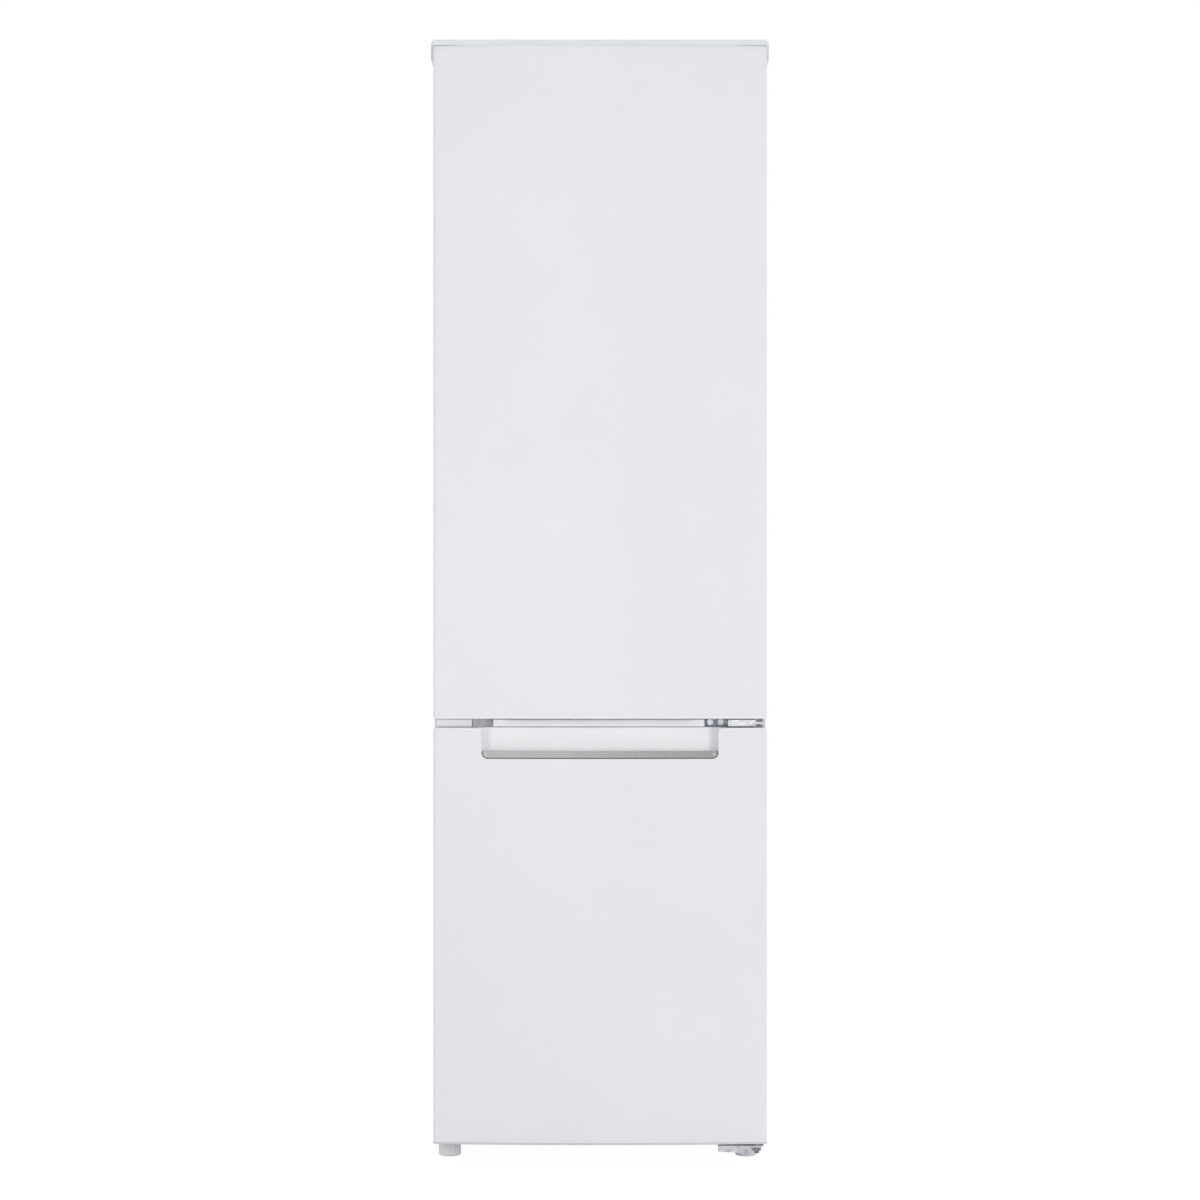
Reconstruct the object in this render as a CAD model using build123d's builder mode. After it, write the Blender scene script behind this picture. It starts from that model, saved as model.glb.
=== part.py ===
from build123d import *
import os

os.makedirs("parts", exist_ok=True)

# A fridge freezer in millimetres: +Z up, front towards -Y, door hinges on the +X side, and the
# origin on the floor under the middle of the cabinet.

# Overall sizes
total_height = 1800
total_depth = 560
cabinet_width = 532
ground_clearance = 33
freezer_door_height = 663.5
door_gap = 14.5
lid_rise = 16
condenser_space = 30

# Sheets, mouldings and glass
sheet = 0.8
base_sheet = 2
liner = 2
hinge_plate = 3
moulding = 3
tray_wall = 2.5
glass = 4

# Insulated walls and the machine bay behind the freezer's lower drawer
fridge_wall = 42
fridge_back_wall = 46
fridge_top_wall = 42
freezer_wall = 54
freezer_back_wall = 56
freezer_floor_wall = 52
partition = 76
bay_height = 237
bay_depth = 185
bay_wall = 52
cabinet_radius = 6
cavity_radius = 18
cavity_back_radius = 12
flange = 30
rail_half = 34
rail_depth = 14
nose_half = 5.5
nose_reach = 46
nose_back = 40
nose_edge = 1.2
nose_gap = 2

# Doors
door_crown = 10
door_edge_depth = 42
door_corner = 6
door_tight_corner = 1
door_hem = 10
door_drop = 2
hinge_clearance = 3
cap_rim = 3
cap_edge = 1.2
cap_seam = 0.5
cap_plug = 10
grip_plug = 24
grip_depth = 17
grip_inset = 116
grip_width = 16
grip_shift = 6
seal_gap = 10
seal_inset = 17.5
seal_base = 20
seal_bulb = 14
seal_foot = 4.5
seal_radius = 8
fridge_panel_depth = 24
freezer_panel_depth = 14
panel_margin = 12
freezer_panel_margin = 7
panel_radius = 7
dyke_margin = 10
dyke_width = 26
dyke_depth = 28

# Grip notch in the freezer door and its metal lip
notch_inset = 77.5
notch_height = 49.2
notch_inner_radius = 9.5
notch_outer_radius = 8
grip_block_margin = 12
grip_block_below = 14
scoop_depth = 34
scoop_taper = 12.5
scoop_rise = 5
scoop_start = 16
scoop_radius = 9
scoop_wall = 5
lip_height = 11
lip_wall = 3.5
lip_setback = 2.5
strip_top = 1.5
strip_gap = 1.6

# Hinges, pins and screws
pivot_inset = 15.5
pivot_depth = 18
pin_radius = 4
pin_reach = 16
pin_collar = 7.5
boss_radius = 8
boss_wall = 3
top_arm_half = 11
top_arm_length = 100
centre_plate_length = 93
centre_plate_half = 12
arm_length = 57
arm_tip = 11
arm_radius = 10
arm_thickness = 3.5
arm_lip_half = 5.2
arm_lip_end = 2
bottom_arm_length = 62
bottom_arm_drop = 5.5
bottom_lip = 12.4
bottom_lip_taper = 2.7
bottom_foot_length = 46
nut_radius = 7
nut_height = 6.3
pin_tail = 10.5
screw_radius = 2.5
screw_head_radius = 4.8
screw_head = 2.6
screw_grip = 9
screw_slot = 1
screw_slot_depth = 1.2
top_screw_start = 60
screw_pitch = 22
centre_screw_offset = 73.5
centre_screw_pitch = 17
blank_length = 57
blank_half = 5.5
blank_depth = 36
blank_edge = 1.5
plug_head = 2

# Top cover
lid_overhang = 6
lid_apron = 22
lid_radius = 8
lid_taper = 2
lid_taper_height = 6
lid_fit = 0.5
visor_edge = 2.2
visor_reach = 14
visor_gap = 1.3
visor_door_gap = 0.8
spacer_half = 25
spacer_inset = 71

# Feet and rollers
foot_inset = 23
hinge_foot_room = 7
foot_setback = 28
pad_radius = 18
pad_height = 20
pad_round = 4
pad_flutes = 18
flute_radius = 1.6
pad_socket = 12
stem_radius = 5
stem_chamfer = 1
collar_radius = 9
collar_height = 4
bush_radius = 9
bush_height = 25
stem_above_bush = 5
foot_travel = 6
roller_inset = 41
roller_setback = 26
roller_radius = 13
roller_width = 20
roller_edge = 2
axle_radius = 3
axle_end = 1
ear_thickness = 2.5
ear_half = 13
ear_below_axle = 7
roller_side_gap = 0.6

# Machine bay
compressor_x = 70
compressor_half_length = 95
compressor_half_width = 68
compressor_height = 147
compressor_top_radius = 28
compressor_bottom_radius = 8
seam_step = 4
seam_height = 72
foot_plate = 3
mount_x = 88
mount_y = 48
mount_radius = 10
mount_height = 10
mount_margin = 13
stud_radius = 3.5
stud_above = 6
stub_offset = 22
stub_height = 104
stub_length = 24
pipe_radius = 4
pipe_bend = 20
capillary_radius = 1
capillary_bend = 10
suction_run = 65
terminal_length = 32
terminal_overlap = 40
terminal_half = 34
terminal_bottom = 40
terminal_height = 78
terminal_edge = 6
inlet_radius = 8
inlet_length = 12
inlet_bore = 3.5
pan_half_x = 84
pan_half_y = 54
pan_height = 30
drier_inset = 44
drier_setback = 48
drier_radius = 9
drier_length = 96
drier_neck = 14
drier_bottom = 52
capillary_drop = 22
capillary_run = 60

# Condenser
coil_tube = 2.4
coil_offset = 18
coil_inset = 40
coil_rows = 25
coil_straight = 4
coil_base = 74
coil_top_drop = 96
riser_inset = 20
riser_cross = 34
riser_bend = 14.4
wire_width = 1.5
wire_gap_count = 50
wire_inset = 62
wire_overlap = 14
bracket_inset_x = 81
bracket_width = 22
bracket_height = 30
bracket_inset = 46

# Fridge inside
shelf_count = 3
crisper_bay = 172
shelf_setback = 15
shelf_back_gap = 10
shelf_side_gap = 2
ledge_width = 10
ledge_height = 6
ledge_inset = 12
trim_depth = 8
trim_height = 14
trim_back_height = 24
trim_radius = 2.6
crisper_side_gap = 14
crisper_back_gap = 58
crisper_head = 20
drawer_gap = 24
drawer_front = 10
drawer_radius = 14
drawer_bottom_radius = 10
pull_half = 62
pull_height = 24
pull_below = 14
pull_depth = 6
balcony_depth = 86
balcony_radius = 20
balcony_fit = 0.5
balcony_count = 3
balcony_height = 74
bottle_height = 112
bottle_lift = 22
lug_length = 20
lug_width = 10
lug_height = 9
housing_inset = 74
housing_length = 130
housing_height = 36
housing_setback = 14
housing_radius = 12
lamp_half = 58
lamp_length = 84
lamp_front = 22
lamp_thickness = 4
lamp_edge = 2.8
knob_inset = 46
knob_setback = 48
knob_radius = 19
knob_height = 12
knob_shaft = 4
knob_shaft_length = 10
knob_grip = 5
knob_edge = 1.5
plunger_inset = 40
plunger_radius = 4
plunger_guide = 20
plate_inset = 54
plate_height = 520
plate_thickness = 1.5
plate_above_crisper = 60

# Freezer inside
evaporator_radius = 4
evaporator_straight = 6
evaporator_back_room = 82.2
evaporator_end_gap = 5
evaporator_exit = 30
evaporator_back_gap = 1
evaporator_head = 4
evaporator_setback = 45
evaporator_rows = 7
freezer_ledge = 13
freezer_side_gap = 8
freezer_back_gap = 18

# Clearances
fit = 0.05
press = 0.02
slide_gap = 0.3
plunger_fit = 0.1
foam_gap = 0.1
drawer_head = 2
bore_end = 1
through_gap = 1

# Planes across the depth, from the doors' crown to the condenser
half_width = cabinet_width / 2
y_front = -total_depth / 2
y_edge = y_front + door_crown
y_door_back = y_edge + door_edge_depth
y_seal = y_door_back - sheet
y_core_back = y_seal - liner
y_flange = y_door_back + seal_gap
y_liner = y_flange + sheet
y_foam = y_liner + liner
y_rear = total_depth / 2
y_back = y_rear - condenser_space
y_bay = y_back - bay_depth
y_step = y_bay - bay_wall
fridge_back = y_back - fridge_back_wall
freezer_back = y_back - freezer_back_wall
y_panel = y_door_back + fridge_panel_depth
y_dyke = y_panel + dyke_depth
y_freezer_panel = y_door_back + freezer_panel_depth
y_balcony = y_panel + balcony_depth

# Places across the width, from the cabinet's sides
foot_left_x = foot_inset - half_width
foot_right_x = half_width - foot_inset - hinge_foot_room
roller_x = half_width - roller_inset
coil_half = half_width - coil_inset
riser_x = half_width - riser_inset
wire_half = half_width - wire_inset
bracket_x = half_width - bracket_inset_x
drier_x = half_width - drier_inset
spacer_offset = half_width - spacer_inset
notch_half = half_width - notch_inset
grip_half = half_width - grip_inset

# Levels, from the floor up
z_floor = ground_clearance
z_base = z_floor + base_sheet
z_top = total_height - lid_rise
z_bay = z_floor + bay_height
z_step = z_bay + bay_wall
freezer_bottom = z_floor - door_drop
freezer_top = freezer_bottom + freezer_door_height
fridge_bottom = freezer_top + door_gap
fridge_top = z_top - hinge_clearance
gap_mid = freezer_top + door_gap / 2
fridge_floor = gap_mid + partition / 2
fridge_ceiling = z_top - fridge_top_wall
freezer_floor = z_floor + freezer_floor_wall
freezer_ceiling = gap_mid - partition / 2
fridge_half = half_width - fridge_wall
freezer_half = half_width - freezer_wall
dyke_half = fridge_half - dyke_margin
plate_half = fridge_half - plate_inset
housing_half = fridge_half - housing_inset
knob_x = housing_half - knob_inset
plunger_x = plunger_inset - housing_half
notch_bottom = freezer_top - notch_height

# Hinge axis of both doors, and the levels of the hinge arms
pivot_x = half_width - pivot_inset
pivot_y = y_edge + pivot_depth
arm_low = gap_mid - arm_thickness / 2
arm_high = gap_mid + arm_thickness / 2
bottom_arm_top = z_floor - bottom_arm_drop
bottom_arm_low = bottom_arm_top - hinge_plate

# Places of the feet and rollers
foot_y = y_flange + foot_setback
roller_y = y_back - roller_setback
bush_top = z_base + bush_height
stem_top = bush_top + stem_above_bush

# Places of the hinge screws, and of the rail's nose between the plugs and the centre hinge
top_screws = [
    (pivot_x, pivot_y + top_screw_start, z_top + hinge_plate),
    (pivot_x, pivot_y + top_screw_start + screw_pitch, z_top + hinge_plate),
]
centre_screw_xs = [pivot_x - centre_screw_offset, pivot_x - centre_screw_offset + centre_screw_pitch]
centre_left = pivot_x + arm_tip - centre_plate_length
nose_left = screw_head_radius + nose_gap - centre_screw_xs[0]
nose_right = centre_left - nose_gap
bottom_left = pivot_x - bottom_arm_length
bottom_screws = [
    (bottom_left + screw_pitch / 2, foot_y - screw_pitch / 2, z_floor - hinge_plate),
    (bottom_left + screw_pitch / 2, foot_y + screw_pitch / 2, z_floor - hinge_plate),
]

# Shelf levels: the underside of the crisper's cover, then glass shelves evenly up to the housing
housing_bottom = fridge_ceiling - housing_height
crisper_level = fridge_floor + crisper_bay
shelf_pitch = (housing_bottom - crisper_level) / (shelf_count + 1)
shelf_levels = [crisper_level + shelf_pitch * (i + 1) for i in range(shelf_count)]
shelf_front = y_balcony + shelf_setback + trim_depth
shelf_back = fridge_back - shelf_back_gap - trim_depth
shelf_half = fridge_half - shelf_side_gap

# Evaporator levels in the freezer: on the step, half way up, and under the ceiling
evaporator_top_level = freezer_ceiling - 2 * evaporator_radius - ledge_height - evaporator_head
evaporator_levels = [z_step, (z_step + evaporator_top_level) / 2, evaporator_top_level]

# Balcony levels on the fridge door: the bottle balcony, then the others evenly to the top
bulge_bottom = fridge_floor + panel_margin
bulge_top = fridge_ceiling - panel_margin
bottle_level = bulge_bottom + bottle_lift
balcony_pitch = (bulge_top - bottle_level) / (balcony_count + 1)
balcony_levels = [bottle_level + balcony_pitch * (i + 1) for i in range(balcony_count)]

# Compressor's middle and the level of its foot plate
compressor_y = y_bay + bay_depth / 2
compressor_bottom = z_base + mount_height
shell_bottom = compressor_bottom + foot_plate
shell_top = shell_bottom + compressor_height
stub_level = shell_bottom + stub_height
stub_end = compressor_x - compressor_half_length - stub_length

# Condenser's plane and ends
coil_y = y_back + coil_offset
coil_top = z_top - coil_top_drop
coil_bottom = z_bay + coil_base
coil_pitch = (coil_top - coil_bottom) / (coil_rows - 1)
coil_bend = (coil_pitch - coil_straight) / 2
drier_y = y_back - drier_setback
drier_top = z_floor + drier_bottom + drier_length


# A sketch plane facing the front at depth y: sketch X is +X and sketch Y is +Z
def facing(y):
    return Plane.XZ.offset(-y)


# A box between two corners, given as spans along X, Y and Z
def block(x, y, z, mode=Mode.ADD):
    with Locations(((x[0] + x[1]) / 2, (y[0] + y[1]) / 2, (z[0] + z[1]) / 2)):
        Box(abs(x[1] - x[0]), abs(y[1] - y[0]), abs(z[1] - z[0]), mode=mode)


# An upright cylinder between two levels
def post(x, y, radius, low, high, mode=Mode.ADD):
    with Locations((x, y, low)):
        Cylinder(radius, high - low, align=(Align.CENTER, Align.CENTER, Align.MIN), mode=mode)


# Labels a finished piece and writes it
def save(piece, name):
    piece.part.label = name
    export_step(piece.part, f"parts/{name}.step")


# Front view of the cabinet, with rounded top edges, inset from its outside
def cabinet_outline(inset):
    with BuildSketch() as outline:
        with Locations((0, z_floor)):
            Rectangle(
                cabinet_width - 2 * inset,
                z_top - z_floor - inset,
                align=(Align.CENTER, Align.MIN),
            )
        fillet(outline.vertices().group_by(Axis.Y)[-1], radius=cabinet_radius - inset)
    return outline.sketch


# The space inside a liner, grown outwards to the liner's outside
def cavity(half, bottom, top, back, grow):
    with BuildPart() as space:
        with BuildSketch(facing(y_liner)):
            with Locations((0, (bottom + top) / 2)):
                RectangleRounded(2 * (half + grow), top - bottom + 2 * grow, cavity_radius + grow)
        extrude(amount=y_liner - back - grow)
        fillet(space.faces().sort_by(Axis.Y)[-1].edges(), radius=cavity_back_radius + grow)
    return space.part


# The freezer's space, less the step that its liner makes over the machine bay
def freezer_cavity(grow):
    tub = cavity(freezer_half, freezer_floor, freezer_ceiling, freezer_back, grow)
    with BuildPart() as space:
        add(tub)
        block(
            (-half_width, half_width),
            (y_step + grow, y_back),
            (z_floor, z_step - grow),
            Mode.SUBTRACT,
        )
    return space.part


# Plan of a door, inset from its crowned front and sides, as deep as the given back plane
def door_plan(inset, back):
    side = half_width - inset
    with BuildSketch() as plan:
        with BuildLine():
            front = ThreePointArc((-side, y_edge + inset), (0, y_front + inset), (side, y_edge + inset))
            Polyline(front @ 1, (side, back), (-side, back), front @ 0)
        make_face()
        fillet(plan.vertices().group_by(Axis.Y)[0], radius=max(door_corner - inset, door_tight_corner))
    return plan.sketch


# Grip notch seen from the front: flared top corners, rounded bottom corners, inset all round
def notch_outline(inset):
    half = notch_half - inset
    low = notch_bottom + inset
    round_low = notch_inner_radius - inset
    flare = notch_outer_radius
    above = freezer_top + cap_rim
    with BuildSketch() as outline:
        with BuildLine():
            left = CenterArc((-half - flare, freezer_top - flare), flare, 90, -90)
            low_left = CenterArc((-half + round_low, low + round_low), round_low, 180, 90)
            low_right = CenterArc((half - round_low, low + round_low), round_low, 270, 90)
            right = CenterArc((half + flare, freezer_top - flare), flare, 180, -90)
            Line(left @ 1, low_left @ 0)
            Line(low_left @ 1, low_right @ 0)
            Line(low_right @ 1, right @ 0)
            Polyline(right @ 1, (half + flare, above), (-half - flare, above), left @ 0)
        make_face()
    return outline.sketch


# A tube along straight runs joined by tangent arcs
def tube(points, bend, radius):
    with BuildPart() as pipe:
        with BuildLine() as route:
            FilletPolyline(*points, radius=bend)
        with BuildSketch(Plane(origin=route.line @ 0, z_dir=route.line % 0)):
            Circle(radius)
        sweep()
    return pipe.part


# Cabinet wrapper: one folded sheet for both sides and the top, with a flange round the front
fridge_space = cavity(fridge_half, fridge_floor, fridge_ceiling, fridge_back, 0)
fridge_shell = cavity(fridge_half, fridge_floor, fridge_ceiling, fridge_back, liner)
freezer_space = freezer_cavity(0)
freezer_shell = freezer_cavity(liner)
outside = cabinet_outline(0)
inside = cabinet_outline(sheet)

with BuildPart() as cabinet_wrapper:
    with BuildSketch(facing(y_flange)):
        add(outside)
    extrude(amount=y_flange - y_back)
    with BuildSketch(facing(y_liner)):
        add(inside)
    extrude(amount=y_liner - y_back, mode=Mode.SUBTRACT)
    with BuildSketch(facing(y_flange)):
        with Locations((0, z_floor)):
            Rectangle(
                cabinet_width - 2 * flange,
                z_top - z_floor - flange,
                align=(Align.CENTER, Align.MIN),
            )
    extrude(amount=-sheet, mode=Mode.SUBTRACT)
    for x, y, z in top_screws:
        post(x, y, screw_radius + fit, z_top - sheet, z_top, Mode.SUBTRACT)
save(cabinet_wrapper, "cabinet_wrapper")

# Back panel: a sheet bent forward over the machine bay and down to the base
with BuildPart() as back_panel:
    with BuildSketch(Plane.YZ):
        with BuildLine():
            Polyline(
                (y_back, z_top - sheet),
                (y_back, z_bay),
                (y_bay, z_bay),
                (y_bay, z_base),
                (y_bay - sheet, z_base),
                (y_bay - sheet, z_bay + sheet),
                (y_back - sheet, z_bay + sheet),
                (y_back - sheet, z_top - sheet),
                close=True,
            )
        make_face()
    extrude(amount=half_width - sheet - cabinet_radius, both=True)
save(back_panel, "back_panel")

# Insulation: one foamed body round both compartments, stepped over the machine bay
plate_bottom = crisper_level + plate_above_crisper
with BuildPart() as cabinet_foam:
    with BuildSketch(facing(y_foam)):
        add(inside)
    extrude(amount=y_foam - y_back + sheet)
    block((-half_width, half_width), (y_foam, y_back), (z_floor, z_base), Mode.SUBTRACT)
    block((-half_width, half_width), (y_bay - sheet, y_back), (z_base, z_bay + sheet), Mode.SUBTRACT)
    add(fridge_shell, mode=Mode.SUBTRACT)
    add(freezer_shell, mode=Mode.SUBTRACT)
    block(
        (flange - half_width, half_width - flange),
        (y_foam, y_flange + rail_depth),
        (gap_mid - rail_half, gap_mid + rail_half),
        Mode.SUBTRACT,
    )
    block(
        (-plate_half, plate_half),
        (fridge_back + liner, fridge_back + liner + plate_thickness),
        (plate_bottom, plate_bottom + plate_height),
        Mode.SUBTRACT,
    )
    for x in (foot_left_x, foot_right_x):
        post(x, foot_y, bush_radius, z_base, stem_top + foot_travel + bore_end, Mode.SUBTRACT)
    for x, y, z in top_screws:
        post(x, y, screw_radius + fit, z_top - screw_grip, z_top, Mode.SUBTRACT)
    for x, y, z in bottom_screws:
        post(x, y, screw_radius + fit, z_base, z + screw_grip + screw_head, Mode.SUBTRACT)
save(cabinet_foam, "cabinet_foam")

# Fridge liner: a moulded tub with a rim behind the flange and ledges for the glass shelves
with BuildPart() as fridge_liner:
    with BuildSketch(facing(y_liner)):
        add(inside)
        with Locations((0, z_floor)):
            Rectangle(
                cabinet_width,
                gap_mid + rail_half - z_floor,
                align=(Align.CENTER, Align.MIN),
                mode=Mode.SUBTRACT,
            )
    extrude(amount=-liner)
    add(fridge_shell)
    add(fridge_space, mode=Mode.SUBTRACT)
    for level in [crisper_level, *shelf_levels]:
        for side in (-1, 1):
            block(
                (side * (fridge_half - ledge_width), side * (fridge_half + liner / 2)),
                (shelf_front + ledge_inset, fridge_back - cavity_back_radius),
                (level - ledge_height, level),
            )
save(fridge_liner, "fridge_liner")

# Freezer liner: a tub stepped over the machine bay, with ledges for the evaporator shelves
with BuildPart() as freezer_liner:
    block(
        (sheet - half_width, half_width - sheet),
        (y_liner, y_foam),
        (z_base, gap_mid - rail_half),
    )
    add(freezer_shell)
    add(freezer_space, mode=Mode.SUBTRACT)
    for level in evaporator_levels:
        for side in (-1, 1):
            block(
                (side * (freezer_half - freezer_ledge), side * (freezer_half + liner / 2)),
                (y_liner + evaporator_setback, y_step),
                (level - ledge_height, level),
            )
    for level in evaporator_levels[1:]:
        for side in (-1, 1):
            block(
                (side * (freezer_half - freezer_ledge), side * (freezer_half + liner / 2)),
                (y_step, freezer_back - cavity_back_radius),
                (level - ledge_height, level),
            )
save(freezer_liner, "freezer_liner")

# Centre rail: a channel across the cabinet, with a sloped nose in the gap between the doors
with BuildPart() as centre_rail:
    block(
        (flange - half_width, half_width - flange),
        (y_flange, y_flange + rail_depth),
        (gap_mid - rail_half, gap_mid + rail_half),
    )
    block(
        (flange - half_width, half_width - flange),
        (y_liner, y_flange + rail_depth),
        (gap_mid - rail_half + sheet, gap_mid + rail_half - sheet),
        Mode.SUBTRACT,
    )
    with BuildSketch(facing(y_flange)):
        with Locations(*[(side * x, gap_mid) for x in centre_screw_xs for side in (-1, 1)]):
            Circle(screw_radius + fit)
    extrude(amount=-sheet, mode=Mode.SUBTRACT)
    with BuildSketch(Plane.YZ.offset(nose_left)):
        with BuildLine():
            Polyline(
                (y_flange, gap_mid - nose_half),
                (y_flange - nose_reach, gap_mid - nose_half),
                (y_flange - nose_reach, gap_mid - nose_half + nose_edge),
                (y_flange - nose_back, gap_mid + nose_half),
                (y_flange, gap_mid + nose_half),
                close=True,
            )
        make_face()
    extrude(amount=nose_right - nose_left)
save(centre_rail, "centre_rail")

# Base frame: a steel pan with threaded bushes for the feet, roller ears, bay cheeks and studs
roller_level = roller_radius
ear_offset = roller_width / 2 + roller_side_gap + ear_thickness / 2
with BuildPart() as base_frame:
    block((sheet - half_width, half_width - sheet), (y_liner, y_back), (z_floor, z_base))
    for x in (foot_left_x, foot_right_x):
        post(x, foot_y, bush_radius, z_base, bush_top)
        post(x, foot_y, stem_radius + fit, z_floor, bush_top, Mode.SUBTRACT)
    for side in (-1, 1):
        for edge in (-1, 1):
            x = side * roller_x + edge * ear_offset
            block(
                (x - ear_thickness / 2, x + ear_thickness / 2),
                (roller_y - ear_half, roller_y + ear_half),
                (roller_level - ear_below_axle, z_floor),
            )
        block(
            (side * (half_width - sheet - base_sheet), side * (half_width - sheet)),
            (y_bay, y_back),
            (z_base, z_bay),
        )
    with BuildSketch(Plane.YZ):
        with Locations((roller_y, roller_level)):
            Circle(axle_radius + press)
    extrude(amount=half_width, both=True, mode=Mode.SUBTRACT)
    for x in (compressor_x - mount_x, compressor_x + mount_x):
        for y in (compressor_y - mount_y, compressor_y + mount_y):
            post(x, y, stud_radius, z_base, compressor_bottom + foot_plate + stud_above)
    for x, y, z in bottom_screws:
        post(x, y, screw_radius + fit, z_floor, z_base, Mode.SUBTRACT)
save(base_frame, "base_frame")

# Top cover: a moulded lid with side aprons, a closed visor over the door and the hinge, and wall
# spacers
lid_half = half_width + lid_overhang
apron_low = z_top - lid_apron
lid_inside = half_width + lid_fit
visor_low = z_top + hinge_plate + visor_gap
visor_skirt = fridge_top + visor_door_gap
visor_front = pivot_y - visor_reach - moulding
with BuildPart() as visor:
    block((-half_width, half_width), (visor_front, y_flange + moulding), (visor_low, visor_low + moulding))
    block((-half_width, half_width), (visor_front, visor_front + moulding), (visor_skirt, visor_low))
    for side in (-1, 1):
        block(
            (side * (half_width - moulding), side * half_width),
            (visor_front, y_flange - visor_door_gap),
            (visor_skirt, visor_low),
        )
    visor_top = visor.faces().sort_by(Axis.Z)[-1]
    fillet(visor_top.edges().sort_by(Axis.Y)[:3], radius=visor_edge)

with BuildPart() as top_lid:
    with BuildSketch(facing(y_flange)) as lid_section:
        with BuildLine():
            Polyline(
                (lid_half - lid_taper, apron_low),
                (lid_half, apron_low + lid_taper_height),
                (lid_half, total_height),
                (-lid_half, total_height),
                (-lid_half, apron_low + lid_taper_height),
                (lid_taper - lid_half, apron_low),
                (-lid_inside, apron_low),
                (-lid_inside, total_height - moulding),
                (lid_inside, total_height - moulding),
                (lid_inside, apron_low),
                close=True,
            )
        make_face()
        fillet(lid_section.vertices().group_by(Axis.Y)[-1], radius=lid_radius)
    extrude(amount=y_flange - y_back)
    for y in (y_flange, y_back - moulding):
        block((-lid_inside, lid_inside), (y, y + moulding), (z_top + slide_gap, total_height - moulding))
    add(visor.part)
    for side in (-1, 1):
        block(
            (side * (pivot_x - top_arm_half - through_gap), side * lid_inside),
            (y_flange, y_flange + moulding),
            (z_top, visor_low),
            Mode.SUBTRACT,
        )
        block(
            (side * (spacer_offset - spacer_half), side * (spacer_offset + spacer_half)),
            (y_back, y_rear),
            (z_top + slide_gap, total_height - moulding),
        )
save(top_lid, "top_lid")

# Top hinge: a plate on the cabinet's top, reaching forward over the fridge door
with BuildPart() as top_hinge:
    with BuildSketch(Plane.XY.offset(z_top)):
        with Locations((pivot_x, pivot_y)):
            Rectangle(2 * top_arm_half, top_arm_length, align=(Align.CENTER, Align.MIN))
            Circle(top_arm_half)
            Circle(pin_radius + press, mode=Mode.SUBTRACT)
        with Locations(*[(x, y) for x, y, z in top_screws]):
            Circle(screw_radius + fit, mode=Mode.SUBTRACT)
    extrude(amount=hinge_plate)
save(top_hinge, "top_hinge")

# Centre hinge: a plate screwed to the rail and a lipped arm between the doors
with BuildPart() as centre_hinge:
    block(
        (centre_left, pivot_x + arm_tip),
        (y_flange - hinge_plate, y_flange),
        (gap_mid - centre_plate_half, gap_mid + centre_plate_half),
    )
    with BuildSketch(Plane.XY.offset(arm_low)) as arm:
        with Locations((pivot_x + arm_tip, y_flange - hinge_plate)):
            Rectangle(
                arm_length,
                y_flange - hinge_plate - pivot_y + arm_tip,
                align=(Align.MAX, Align.MAX),
            )
        fillet(arm.vertices().group_by(Axis.Y)[0].sort_by(Axis.X)[-1], radius=arm_radius)
        with Locations((pivot_x, pivot_y)):
            Circle(pin_radius + press, mode=Mode.SUBTRACT)
    extrude(amount=arm_thickness)
    block(
        (pivot_x + arm_tip - arm_length, pivot_x - arm_lip_end),
        (pivot_y - arm_tip, pivot_y - arm_tip + hinge_plate),
        (gap_mid - arm_lip_half, gap_mid + arm_lip_half),
    )
    with BuildSketch(facing(y_flange)):
        with Locations(*[(x, gap_mid) for x in centre_screw_xs]):
            Circle(screw_radius + fit)
    extrude(amount=hinge_plate, mode=Mode.SUBTRACT)
save(centre_hinge, "centre_hinge")

# Bottom hinge: a cranked plate under the base, with an arm below the door and a turned-down lip
bottom_right = pivot_x + arm_tip
lip_front = pivot_y - arm_tip
with BuildPart() as bottom_hinge:
    block(
        (bottom_left, bottom_right),
        (y_flange, y_flange + bottom_foot_length),
        (z_floor - hinge_plate, z_floor),
    )
    block(
        (bottom_left, bottom_right),
        (y_flange - hinge_plate, y_flange),
        (bottom_arm_low, z_floor),
    )
    with BuildSketch(Plane.XY.offset(bottom_arm_low)) as bottom_arm:
        with Locations((bottom_right, y_flange - hinge_plate)):
            Rectangle(
                bottom_right - bottom_left,
                y_flange - hinge_plate - lip_front,
                align=(Align.MAX, Align.MAX),
            )
        fillet(bottom_arm.vertices().group_by(Axis.Y)[0].sort_by(Axis.X)[-1], radius=arm_radius)
        with Locations((pivot_x, pivot_y)):
            Circle(pin_radius + press, mode=Mode.SUBTRACT)
    extrude(amount=hinge_plate)
    with BuildSketch(facing(lip_front)):
        with BuildLine():
            Polyline(
                (bottom_left, bottom_arm_top),
                (bottom_left, bottom_arm_top - bottom_lip + bottom_lip_taper),
                (pivot_x - arm_tip, bottom_arm_top - bottom_lip),
                (pivot_x - arm_tip, bottom_arm_top),
                close=True,
            )
        make_face()
    extrude(amount=-hinge_plate)
    post(foot_right_x, foot_y, stem_radius + through_gap, bottom_arm_low, z_floor, Mode.SUBTRACT)
    for x, y, z in bottom_screws:
        post(x, y, screw_radius + fit, z, z_floor, Mode.SUBTRACT)
save(bottom_hinge, "bottom_hinge")

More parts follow.
